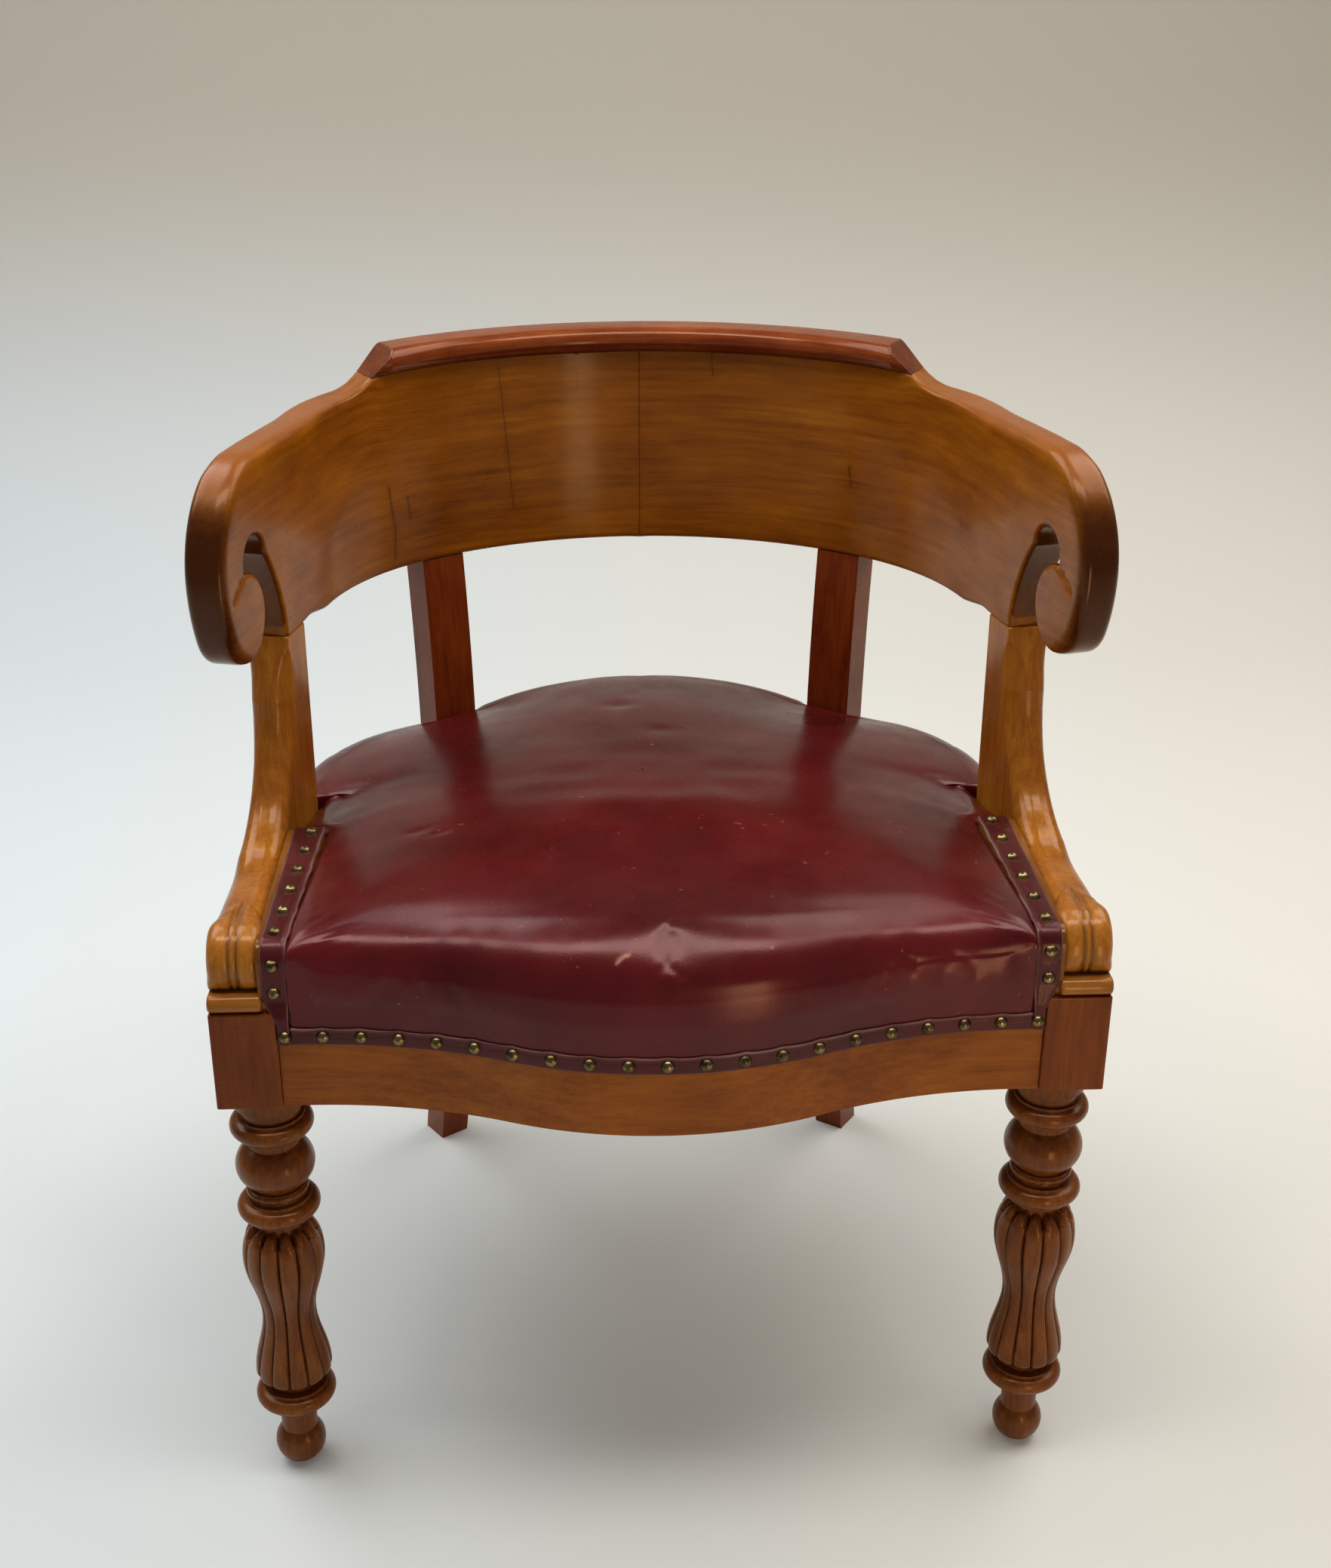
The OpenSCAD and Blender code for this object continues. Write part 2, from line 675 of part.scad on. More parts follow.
module ledge_side() {
    // The ledge rounds over at the front and runs nearly level beside the knuckle
    difference() {
        grown_ledge(0);
        translate([-100, rail_top - 100]) square([400, 100 + fit]);
    }
}

module arm_support(s) {
    side(s) color(pale_wood) place() difference() {
        union() {
            intersection() {
                translate([ledge_x, 0, 0]) rotate([90, 0, 90]) linear_extrude(80) support_side();
                translate([0, 0, rail_bottom]) linear_extrude(band_top) support_plan();
            }
            intersection() {
                translate([ledge_x - 30, 0, 0]) rotate([90, 0, 90]) linear_extrude(60) ledge_side();
                translate([0, 0, rail_bottom]) linear_extrude(rail_height + ledge_h + 20)
                    polygon([[ledge_in(-40), -40], [ledge_x + ledge_w, -40],
                        [ledge_x + ledge_w, block_d / 2 + fit], [ledge_x + ledge_w + 5, block_d / 2 + fit],
                        [ledge_x + ledge_w + 5, 180], [ledge_in(180), 180]]);
            }
        }
        translate([outer_x - dowel_in, 0, block_top - 1])
            cylinder(d = dowel_d + fit, h = dowel_len - dowel_deep + 1.5);
        translate([seam_mid_x, seam_mid_y, seam_z - dowel_len / 2 - 0.5])
            cylinder(d = dowel_d + fit, h = dowel_len / 2 + 2);
    }
}

module support_dowels() {
    color("burlywood") place() for (s = [-1, 1]) side(s) {
        translate([outer_x - dowel_in, 0, block_top - dowel_deep + 0.5])
            cylinder(d = dowel_d, h = dowel_len - 1);
        translate([seam_mid_x, seam_mid_y, seam_z - dowel_len / 2]) cylinder(d = dowel_d, h = dowel_len);
    }
}

// Corner blocks inside the seat frame, each held by two screws

brace = 62;
brace_h = 44;
brace_z = rail_bottom + 14;
screw_z = brace_z + brace_h / 2;
screw_d = 4.5;
screw_head_d = 8;
screw_len = 42;
// Face of the front rail that the front blocks lie against, and their corners
brace_y = rail_front + front_rail_thick + fit;
brace_in = half_leg - block_w / 2 - fit;
brace_side = side_x0 - side_rail_thick / cos(side_taper) - fit;
brace_end_y = block_d / 2 + brace;
brace_end_x = brace_side - brace * tan(side_taper);
brace_start = brace_in - brace * 0.9;

function brace_face_y(x) =
    brace_y + (brace_end_y - brace_y) * (x - brace_start) / (brace_end_x - brace_start);

module front_brace() {
    // Notched round the leg's block
    polygon([[brace_start, brace_y], [brace_in, brace_y], [brace_in, block_d / 2 + fit],
        [brace_side, block_d / 2 + fit], [brace_end_x, brace_end_y]]);
}

module rear_brace() {
    intersection() {
        translate([corner_x, corner_y]) circle(r = corner_r - side_rail_thick - fit, $fn = 240);
        translate([0, back_rail_cy]) circle(r = back_rail_r - back_rail_thick - fit, $fn = 240);
        translate([mitre_x, mitre_y]) rotate(-leg_a) translate([-brace * 0.7, -brace])
            square([brace * 1.4, brace]);
    }
}

// Places of the screws: position in plan and direction toward the rail
front_screw_x = brace_start + brace * 0.45;
side_screw_y = brace_end_y - brace * 0.3;
side_screw_x = brace_start + (side_screw_y - brace_y) / (brace_end_y - brace_y) * (brace_end_x - brace_start);
rear_screw_in = 30;

module screw_places() {
    translate([front_screw_x, brace_face_y(front_screw_x), screw_z]) rotate([90, 0, 0]) children();
    translate([side_screw_x, side_screw_y, screw_z]) rotate([0, 90, 0]) children();
    for (t = [-1, 1]) translate([mitre_x, mitre_y, screw_z]) rotate([0, 0, -leg_a])
        translate([t * brace * 0.36, -brace - 0.5, 0]) rotate([-90, 0, t * -8]) children();
}

module screw(grow) {
    // Starts at the block's face and points along +Z, head let into the face
    translate([0, 0, -2]) cylinder(d = screw_head_d + grow, h = 7);
    cylinder(d = screw_d + grow, h = screw_len + grow);
}

module corner_blocks() {
    color("burlywood") place() for (s = [-1, 1]) side(s) difference() {
        translate([0, 0, brace_z]) linear_extrude(brace_h) {
            front_brace();
            rear_brace();
        }
        screw_places() screw(fit);
        screw_places() translate([0, 0, -30]) cylinder(d = screw_head_d + fit, h = 31);
    }
}

module corner_screws() {
    color("silver") place() for (s = [-1, 1]) side(s) screw_places() difference() {
        screw(0);
        translate([0, 0, -3]) cylinder(d = screw_head_d + 1, h = 4);
        // Slot across the head
        translate([-screw_head_d, -0.6, 0]) cube([2 * screw_head_d, 1.2, 2.4]);
    }
}

// Webbing under the seat: cross strips, and long strips that pass over them

web_y = [for (k = [-1:1]) corner_y - 95 + k * web_pitch];
web_x = [for (k = [-1:1]) k * web_pitch];
web_gap = 0.2;
function side_face_x(y) = side_x0 - (y - block_d / 2) * tan(side_taper);
function back_face_y(x, m) = back_rail_cy + sqrt(pow(back_rail_r + m, 2) - x * x);

module webbing_cross() {
    color("tan") place() for (y = web_y) {
        half = side_face_x(y) - 8;
        translate([-half, y - web_w / 2, rail_bottom - web_gap - web_t]) cube([2 * half, web_w, web_t]);
    }
}

module webbing_long() {
    // Side view: under the front rail, up over the cross strips, under the back rail
    low = rail_bottom - web_gap - web_t;
    high = rail_bottom + web_gap;
    y1 = rail_front + front_rail_thick + 5;
    y2 = min(web_y) - web_w / 2 - 6;
    y3 = max(web_y) + web_w / 2 + 6;
    y4 = back_face_y(web_pitch + web_w / 2, -back_rail_thick) - 4;
    color("tan") place() for (x = web_x) {
        y0 = face_y(abs(x) + web_w / 2, 0) + 8;
        y5 = back_face_y(abs(x) + web_w / 2, 0) - 8;
        translate([x - web_w / 2, 0, 0]) rotate([90, 0, 90]) linear_extrude(web_w)
            polygon([[y0, low], [y1, low], [y2, high], [y3, high], [y4, low], [y5, low],
                [y5, low + web_t], [y4 + 0.6, low + web_t], [y3 + 0.6, high + web_t],
                [y2 - 0.6, high + web_t], [y1 - 0.6, low + web_t], [y0, low + web_t]]);
    }
}

// Hour-glass springs on the crossings of the webbing

spring_turns = 5;
spring_rings = 8;
spring_z0 = rail_bottom + web_gap + web_t + soft_gap + spring_wire / 2;
spring_z1 = rail_top - spring_wire / 2;
function spring_rr(t) = spring_r * (0.62 + 0.38 * pow(abs(2 * t - 1), 1.5));
function spring_at(t) = let (a = 360 * spring_turns * t)
    [spring_rr(t) * cos(a), spring_rr(t) * sin(a), spring_z0 + (spring_z1 - spring_z0) * t];
spring_n = spring_turns * spring_rings;
spring_pts = [for (k = [0:spring_n]) spring_at(k / spring_n)];
function wire_ring(k) = let (a = 360 * spring_turns * k / spring_n, c = spring_pts[k])
    [for (i = [0:5]) let (b = 60 * i)
        c + spring_wire / 2 * [cos(b) * cos(a), cos(b) * sin(a), sin(b)]];

module spring() {
    polyhedron(
        [for (k = [0:spring_n]) for (q = wire_ring(k)) q],
        concat(
            [for (k = [0:spring_n - 1]) for (i = [0:5]) [k * 6 + i, k * 6 + (i + 1) % 6, (k + 1) * 6 + i]],
            [for (k = [0:spring_n - 1]) for (i = [0:5])
                [k * 6 + (i + 1) % 6, (k + 1) * 6 + (i + 1) % 6, (k + 1) * 6 + i]],
            [[5, 4, 3, 2, 1, 0]],
            [[for (i = [0:5]) spring_n * 6 + i]]));
}

// Least gap of the wire to itself, taken between points over half a turn apart
echo(spring_gap = min([for (i = [0:spring_n]) for (j = [i + spring_rings / 2:1:spring_n])
    norm(spring_pts[i] - spring_pts[j]) - spring_wire]));

module seat_springs() {
    color("dimgray") place() {
        translate([web_x[1], web_y[1], 0]) spring();
        for (x = [web_x[0], web_x[2]]) for (y = [web_y[0], web_y[2]]) translate([x, y, 0]) spring();
    }
}

// Outline of the seat in plan, right half from the middle of the front to the
// middle of the back. t is the depth below the leather's surface

seat_cy = 200;
side_in = ledge_x - soft_gap;
rear_y = seam_y + support_d + soft_gap;
rear_in_x = seam_in_x - support_d * tan(arm_splay);
skirt_z = rail_top - trim_drop - 3;
side_z = rail_top + soft_gap;
front_pts = 9;
notch_half = rear_leg_w / 2 + 0.5;

// Angle round the rear corner at which the outer side of the leg is met
function leg_point(u, v) = [mitre_x + u * cos(leg_a) + v * sin(leg_a), mitre_y - u * sin(leg_a) + v * cos(leg_a)];
function back_x_at_leg(m) = leg_point(-notch_half - 6, 12 + m)[0];
corner_end = atan2(leg_point(notch_half + 6, 12)[1] - corner_y, leg_point(notch_half + 6, 12)[0] - corner_x);

// Each entry is x, y, height of the lower edge, height of the roll, and in the
// notch round the leg the distance from the middle that the outline has without it.
// The last value is the least y that the roll keeps behind the arm support
function seat_half(t) = let (m = soft_gap + facet_room + leather_t - t) concat(
    [for (k = [0:front_pts - 1]) let (x = (side_in - 5) * k / (front_pts - 1))
        [x, face_y(x, m), skirt_z, front_roll]],
    [for (y = [rail_front - m, rail_front + 12, ledge_back * 0.5, ledge_back + 1 + t])
        [ledge_in(y) - soft_gap - t, y, side_z, front_roll - 3 * max(0, y / ledge_back)]],
    [
     [outer_x - support_w + 1.5 - t, ledge_back + 10 + t, side_z, front_roll - 6],
     [seam_in_x - soft_gap - t, seam_y - 1, side_z, mix(front_roll, side_roll, 0.85)],
     [rear_in_x - soft_gap - t, rear_y + t, side_z, side_roll, undef, rear_y + t],
     [side_face_x(rear_y) + m, rear_y + t, side_z, side_roll, undef, rear_y + t],
     [side_face_x(rear_y + 9) + m, rear_y + 9, skirt_z, side_roll, undef, rear_y + t + 2]],
    [for (k = [0:7]) let (a = mix(side_taper, corner_end, k / 7))
        [corner_x + (corner_r + m) * cos(a), corner_y + (corner_r + m) * sin(a), skirt_z, side_roll]],
    [for (q = [[notch_half + 1 + t / 3, 12 + m, 0], [notch_half + t, -0.5 - t, 1],
        [-notch_half - t, -0.5 - t, 1], [-notch_half - 1 - t / 3, 12 + m, 0]])
        concat(leg_point(q[0], q[1]), [side_z, side_roll + 3,
            q[2] == 1 ? norm(leg_point(q[0], 12 + m) - [0, seat_cy]) : undef])],
    [for (k = [0:4]) let (x = back_x_at_leg(m) * (1 - k / 4))
        [x, back_face_y(x, m), skirt_z, mix(side_roll + 3, rear_roll, pow(sin(22.5 * k), 0.6))]]);

function mirrored(half) = concat(half,
    [for (k = [len(half) - 2:-1:1]) [-half[k][0], half[k][1], half[k][2], half[k][3], half[k][4], half[k][5]]]);

// The cover rises straight from the rails, rolls over and swells to its crown
roll_steps = 4;
dome_steps = 3;
roll_share = 0.10;
function seat_scale(k) =
    k <= roll_steps ? 1 - roll_share * (1 - cos(90 * k / roll_steps))
    : (1 - roll_share) * (1 - (k - roll_steps) / (dome_steps + 1));
function seat_rise(k, roll) =
    k <= roll_steps ? roll - 24 * (1 - sin(90 * k / roll_steps))
    : mix(crown, roll, pow(seat_scale(k) / (1 - roll_share), 2));
// Inner rings grow rounder: each point moves toward an oval of like size
function toward_oval(q, k) = let (
        dx = q[0], dy = q[1] - seat_cy, a = atan2(dy, dx), s = seat_scale(k),
        b = k <= roll_steps ? 0 : (k - roll_steps) / (dome_steps + 1),
        far = norm([dx, dy]), whole = q[4] == undef ? far : q[4],
        flat = mix(far, whole, min(1, k / roll_steps)), oval = 262)
    [cos(a) * mix(flat, oval, b) * s,
        max(seat_cy + sin(a) * mix(flat, oval, b) * s, q[5] == undef || k > roll_steps ? -1000 : q[5])];

function seat_rings(t, low) = let (edge = mirrored(seat_half(t))) concat(
    [for (q = edge) [q[0], q[1], low == undef ? q[2] : low]],
    [for (k = [0:roll_steps + dome_steps]) for (q = edge)
        concat(toward_oval(q, k), [rail_top + seat_rise(k, q[3]) - t])],
    [[0, seat_cy, rail_top + crown - t]]);

seat_n = len(mirrored(seat_half(0)));
ring_count = roll_steps + dome_steps + 2;
function wall_faces(o, up) = [for (k = [0:ring_count - 2]) for (i = [0:seat_n - 1])
    for (f = [[[k, i], [k, i + 1], [k + 1, i]], [[k, i + 1], [k + 1, i + 1], [k + 1, i]]])
        let (g = [for (c = f) o + c[0] * seat_n + c[1] % seat_n]) up ? g : [g[2], g[1], g[0]]];
function cap_faces(o, up) = let (top = o + ring_count * seat_n, b = o + (ring_count - 1) * seat_n)
    [for (i = [0:seat_n - 1]) let (g = [b + i, b + (i + 1) % seat_n, top]) up ? g : [g[2], g[1], g[0]]];

module seat_leather() {
    size = ring_count * seat_n + 1;
    color("darkred") place() polyhedron(
        concat(seat_rings(0), seat_rings(leather_t)),
        concat(wall_faces(0, false), cap_faces(0, false), wall_faces(size, true), cap_faces(size, true),
            [for (i = [0:seat_n - 1]) [i, (i + 1) % seat_n, size + i]],
            [for (i = [0:seat_n - 1]) [(i + 1) % seat_n, size + (i + 1) % seat_n, size + i]]));
}

hessian_t = 1;
// Wadding between the stuffing and the leather, left as a space
wadding_t = 5;
stuffing_z = rail_top + hessian_t + 2 * soft_gap;

module seat_stuffing() {
    color("wheat") place() polyhedron(
        concat(seat_rings(leather_t + wadding_t, stuffing_z), [[0, seat_cy, stuffing_z]]),
        concat(wall_faces(0, false), cap_faces(0, false),
            [for (i = [0:seat_n - 1]) [i, (i + 1) % seat_n, ring_count * seat_n + 1]]));
}

module spring_hessian() {
    // Coarse cloth over the springs, lying on the rails
    color("tan") place() translate([0, 0, rail_top + soft_gap]) linear_extrude(hessian_t)
        polygon([for (q = mirrored(seat_half(leather_t + wadding_t))) [q[0], q[1]]]);
}

// Leather strips that the nails hold

strip_z = rail_top - trim_drop - trim_w / 2;

module front_trim() {
    color("firebrick") place() translate([0, 0, strip_z]) linear_extrude(trim_w)
        polygon(concat(face_line(side_in, strip_in), reversed(face_line(side_in, strip_in + trim_t))));
}

module rear_strip_plan(m) {
    for (s = [-1, 1]) scale([s, 1]) frame_half_outer(m);
}

module rear_trim() {
    color("firebrick") place() translate([0, 0, strip_z]) linear_extrude(trim_w) difference() {
        rear_strip_plan(strip_in + trim_t);
        rear_strip_plan(strip_in);
        for (s = [-1, 1]) scale([s, 1]) leg_notch();
        translate([-400, -100]) square([800, 100 + rear_y + 12]);
    }
}

strip_x = ledge_x + (ledge_w - trim_w) / 2;
function strip_at(y) = ledge_in(y) + (ledge_w - trim_w) / 2;
ledge_top = rail_top + ledge_h;
strip_gap = 0.2;

module side_strip_side() {
    // Side view: up the face of the ledge, over its nose and back along the top
    difference() {
        grown_ledge(strip_gap + trim_t);
        grown_ledge(strip_gap);
        translate([-100, rail_top - 100]) square([400, 100 + fit]);
    }
}

nose_r = 14;
ledge_rise = 2;

module grown_ledge(m) {
    translate([ledge_front + nose_r, ledge_top - nose_r]) circle(r = nose_r + m);
    polygon([[ledge_front - m, rail_top - 50], [ledge_front - m, ledge_top - nose_r],
        [ledge_front + nose_r, ledge_top + m], [ledge_back - 1, ledge_top + ledge_rise + m],
        [ledge_back - 1, rail_top - 50]]);
}

module side_trim(s) {
    side(s) color("firebrick") place() {
        intersection() {
            translate([strip_x - 30, 0, 0]) rotate([90, 0, 90]) linear_extrude(60) side_strip_side();
            translate([0, 0, rail_bottom]) linear_extrude(rail_height + ledge_h + 20)
                polygon([[strip_at(-40), -40], [strip_at(-40) + trim_w, -40], [strip_at(180) + trim_w, 180],
                    [strip_at(180), 180]]);
        }
        // Folded end beside the leg's block, down to the front strip
        translate([side_in + 0.5, ledge_front - strip_in - trim_t, strip_z + 0.1])
            cube([lap_x - side_in - 0.8, strip_in + trim_t - strip_gap, rail_top + 3 - strip_z]);
    }
}

// Round-headed upholstery nails

nail_shank_d = 1.8;
nail_len = 13;

module nail() {
    // Head seated at Z = 0, shank pointing down
    ball = (pow(nail_d / 2, 2) + nail_h * nail_h) / (2 * nail_h);
    intersection() {
        translate([0, 0, nail_h - ball]) sphere(r = ball, $fn = 36);
        cylinder(d = nail_d + 1, h = nail_h + 1);
    }
    translate([0, 0, -nail_len]) cylinder(d = nail_shank_d, h = nail_len + 0.5, $fn = 16);
}

nail_z = rail_top - trim_drop;
nail_out = strip_in + trim_t;
nail_end_x = half_leg - block_w / 2 + lap_w - nail_d / 2 - 0.6;

module front_nails() {
    color("goldenrod") place() for (k = [0:front_nail_count - 1]) {
        x = nail_end_x * (2 * k / (front_nail_count - 1) - 1);
        dx = 0.5;
        slope = atan2(face_y(abs(x) + dx, 0) - face_y(abs(x) - dx, 0), 2 * dx);
        translate([x, face_y(x, nail_out), nail_z]) rotate([0, 0, slope * sign(x)]) rotate([90, 0, 0]) nail();
    }
}

side_nail_count = 6;

module side_nails(s) {
    mid = strip_x + trim_w / 2;
    side(s) color("goldenrod") place() {
        // Two on the front of the ledge, the rest along its top
        for (z = [rail_top + 15, rail_top + 36])
            translate([mid, ledge_front - strip_gap - trim_t, z]) rotate([90, 0, 0]) nail();
        for (k = [0:side_nail_count - 1]) {
            y = mix(ledge_front + nose_r + 4, ledge_back - 8, k / (side_nail_count - 1));
            rise = ledge_rise * (y - ledge_front - nose_r) / (ledge_back - ledge_front - nose_r);
            translate([strip_at(y) + trim_w / 2, y, ledge_top + rise + strip_gap + trim_t]) nail();
        }
    }
}

module rear_nails() {
    color("goldenrod") place() {
        // Along the end of each side rail and round the corner
        for (s = [-1, 1]) side(s) {
            for (y = [rear_y + 14, rear_y + 40]) translate([side_face_x(y) + nail_out / cos(side_taper), y, nail_z])
                rotate([0, 0, side_taper]) rotate([0, 90, 0]) nail();
            for (k = [0:3]) {
                a = mix(side_taper + 6, corner_end - 5, k / 3);
                translate([corner_x, corner_y, nail_z]) rotate([0, 0, a])
                    translate([corner_r + nail_out, 0, 0]) rotate([0, 90, 0]) nail();
            }
        }
        // Across the back rail
        end_a = asin((back_x_at_leg(0) - 8) / back_rail_r);
        for (k = [0:10]) translate([0, back_rail_cy, nail_z])
            rotate([0, 0, 90 + end_a * (k / 5 - 1)]) translate([back_rail_r + nail_out, 0, 0])
            rotate([0, 90, 0]) nail();
    }
}

front_leg(-1);  // front_leg_left
front_leg(1);  // front_leg_right
rear_leg(-1);  // rear_leg_left
rear_leg(1);  // rear_leg_right
front_rail();
side_rail(-1);  // side_rail_left
side_rail(1);  // side_rail_right
back_rail();
arm_support(-1);  // arm_support_left
arm_support(1);  // arm_support_right
band_half(-1);  // band_left
band_half(1);  // band_right
crest_rail();
band_dowels();
support_dowels();
corner_blocks();
corner_screws();
webbing_long();
webbing_cross();
seat_springs();
spring_hessian();
seat_stuffing();
seat_leather();
front_trim();
rear_trim();
side_trim(-1);  // side_trim_left
side_trim(1);  // side_trim_right
front_nails();
rear_nails();
side_nails(-1);  // side_nails_left
side_nails(1);  // side_nails_right
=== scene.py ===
import math
import bmesh
import bpy
import numpy as np
from mathutils import Matrix, Vector
from mathutils.geometry import delaunay_2d_cdt


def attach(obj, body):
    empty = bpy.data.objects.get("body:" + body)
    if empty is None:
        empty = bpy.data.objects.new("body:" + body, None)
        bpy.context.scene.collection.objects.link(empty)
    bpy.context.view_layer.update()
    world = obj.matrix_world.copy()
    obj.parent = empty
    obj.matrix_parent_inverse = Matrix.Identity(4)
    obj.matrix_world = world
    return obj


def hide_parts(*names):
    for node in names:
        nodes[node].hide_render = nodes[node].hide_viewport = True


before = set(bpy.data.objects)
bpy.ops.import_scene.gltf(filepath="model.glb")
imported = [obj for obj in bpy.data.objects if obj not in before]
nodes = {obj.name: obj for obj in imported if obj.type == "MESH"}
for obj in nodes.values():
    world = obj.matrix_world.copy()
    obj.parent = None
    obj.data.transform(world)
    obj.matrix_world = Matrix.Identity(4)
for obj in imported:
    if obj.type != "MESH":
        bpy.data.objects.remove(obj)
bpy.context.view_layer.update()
print("frame loaded:", len(nodes), "nodes")

# The chair's own measures in millimetres: X right, Y back from the front leg axes, Z up
chair = dict(midY=212.8, halfLeg=280.0, outerX=312.0, blockHalf=27.0, railBottom=335.0, railTop=411.0,
             blockTop=424.0)
mm = 0.001
sideName = {-1: "left", 1: "right"}
up = np.array([0, 0, 1.0])


def inFrame(points):
    # millimetres about the front legs to metres about the middle of the chair
    return (np.asarray(points, float) - [0, chair["midY"], 0]) * mm


def share(values):
    # held between 0 and 1
    return np.clip(values, 0, 1)


def bell(values, width):
    # 1 at nought, falling away on both sides as exp(-(value / width)^2)
    return np.exp(-(values / width) ** 2)


def unit(rows):
    return rows / np.linalg.norm(rows, axis=1)[:, None]


def arc(cx, cy, r, start, end, n):
    # n points of a circle between two angles in degrees
    a = np.radians(np.linspace(start, end, n))
    return np.stack([cx + r * np.cos(a), cy + r * np.sin(a)], 1)


def runAlong(line):
    # the length of a polyline up to each of its points
    return np.concatenate([[0], np.cumsum(np.linalg.norm(np.diff(line, axis=0), axis=1))])


def loopArea(line):
    # half the sum of cross products round a closed line
    nextPoint = np.roll(line, -1, axis=0)
    return 0.5 * np.sum(line[:, 0] * nextPoint[:, 1] - nextPoint[:, 0] * line[:, 1])


def evened(values, times):
    # a closed row of numbers, each averaged with its two neighbours, several times over
    for _ in range(times):
        values = (np.roll(values, 1) + values * 2 + np.roll(values, -1)) / 4
    return values


def smoothNoise(points, scale, seed):
    # sum of nine sine waves in random directions: about -1 to 1, scale is the wave length
    rng = np.random.default_rng(seed)
    total = np.zeros(len(points))
    for _ in range(9):
        d = rng.normal(size=3)
        d /= np.linalg.norm(d)
        k = 2 * math.pi / (scale * rng.uniform(0.6, 1.6))
        total += np.sin(points @ d * k + rng.uniform(0, 6.28))
    return total / 4


def segmentDistance(points, line, closed=True):
    # nearest distance from each point to a polyline, and the place of the nearest point along it
    a = line if closed else line[:-1]
    b = np.roll(line, -1, axis=0) if closed else line[1:]
    ab = b - a
    length2 = np.maximum((ab ** 2).sum(1), 1e-12)
    best, place = np.full(len(points), 1e9), np.zeros(len(points))
    block = 2000  # points measured at a time
    for k in range(0, len(points), block):
        p = points[k:k + block, None, :]
        t = share(((p - a) * ab).sum(-1) / length2)
        d = np.linalg.norm(p - (a + t[..., None] * ab), axis=-1)
        j = d.argmin(1)
        rows = np.arange(len(j))
        best[k:k + block] = d[rows, j]
        place[k:k + block] = j + t[rows, j]
    return best, place


def insideLine(points, line):
    # even-odd rule: how often a ray to the right crosses the closed line
    x, y = points[:, 0][:, None], points[:, 1][:, None]
    x1, y1 = line[:, 0], line[:, 1]
    x2, y2 = np.roll(x1, -1), np.roll(y1, -1)
    cross = ((y1 > y) != (y2 > y)) & (x < (x2 - x1) * (y - y1) / (y2 - y1 + 1e-12) + x1)
    return cross.sum(1) % 2 == 1


def resample(line, step, closed=True):
    # even steps along a polyline; corners sharper than 25 degrees stay points
    line = np.asarray(line, float)
    ring = np.vstack([line, line[:1]]) if closed else line
    u, v = ring[1:-1] - ring[:-2], ring[2:] - ring[1:-1]
    turn = np.abs(np.degrees(np.arctan2(u[:, 0] * v[:, 1] - u[:, 1] * v[:, 0], (u * v).sum(1))))
    keep = [0] + (np.where(turn > 25)[0] + 1).tolist() + [len(ring) - 1]
    out = []
    for i, j in zip(keep[:-1], keep[1:]):
        part = ring[i:j + 1]
        s = runAlong(part)
        at = np.linspace(0, s[-1], max(1, int(round(s[-1] / step))) + 1)[:-1]
        out.append(np.stack([np.interp(at, s, part[:, c]) for c in range(part.shape[1])], 1))
    if not closed:
        out.append(ring[-1:])
    return np.vstack(out)


def gridFaces(rows, cols, wrapCols=False):
    # quads of a grid whose points are numbered row by row
    rr, cc = np.meshgrid(np.arange(rows - 1), np.arange(cols if wrapCols else cols - 1), indexing="ij")
    c2 = (cc + 1) % cols
    quads = np.stack([rr * cols + cc, rr * cols + c2, (rr + 1) * cols + c2, (rr + 1) * cols + cc], -1)
    return quads.reshape(-1, 4)


def tubeFaces(rows, cols):
    # a grid closed round each row, with one flat face at either end
    ends = [list(range(cols))[::-1], [(rows - 1) * cols + k for k in range(cols)]]
    return gridFaces(rows, cols, wrapCols=True).tolist() + ends


def addMesh(name, points, faces, smooth=True, fixNormals=True):
    mesh = bpy.data.meshes.new(name)
    mesh.from_pydata(inFrame(points).tolist(), [], [list(map(int, f)) for f in faces])
    if fixNormals:
        bm = bmesh.new()
        bm.from_mesh(mesh)
        bmesh.ops.recalc_face_normals(bm, faces=bm.faces)
        bm.to_mesh(mesh)
        bm.free()
    mesh.polygons.foreach_set("use_smooth", np.full(len(mesh.polygons), smooth))
    mesh.update()
    piece = bpy.data.objects.new(name, mesh)
    bpy.context.scene.collection.objects.link(piece)
    return piece


def readPoints(source, key):
    # one vector for each item of a mesh's own list, such as its vertices
    out = np.empty(len(source) * 3, np.float64)
    source.foreach_get(key, out)
    return out.reshape(-1, 3)


def placePoints(piece):
    return readPoints(piece.data.vertices, "co")


def pointNormals(piece):
    return readPoints(piece.data.vertex_normals, "vector")


def movePoints(piece, points):
    piece.data.vertices.foreach_set("co", points.ravel())
    piece.data.update()


def setAttribute(piece, name, values):
    # one number or one vector for each point of the mesh
    values = np.asarray(values, np.float32)
    kind = "FLOAT" if values.ndim == 1 else "FLOAT_VECTOR"
    layer = piece.data.attributes.new(name, kind, "POINT")
    layer.data.foreach_set("value" if values.ndim == 1 else "vector", values.ravel())


def dress(target, mat):
    # one material on every slot of a CAD node or a new piece
    mesh = target.data
    if not mesh.materials:
        mesh.materials.append(mat)
    for k in range(len(mesh.materials)):
        mesh.materials[k] = mat


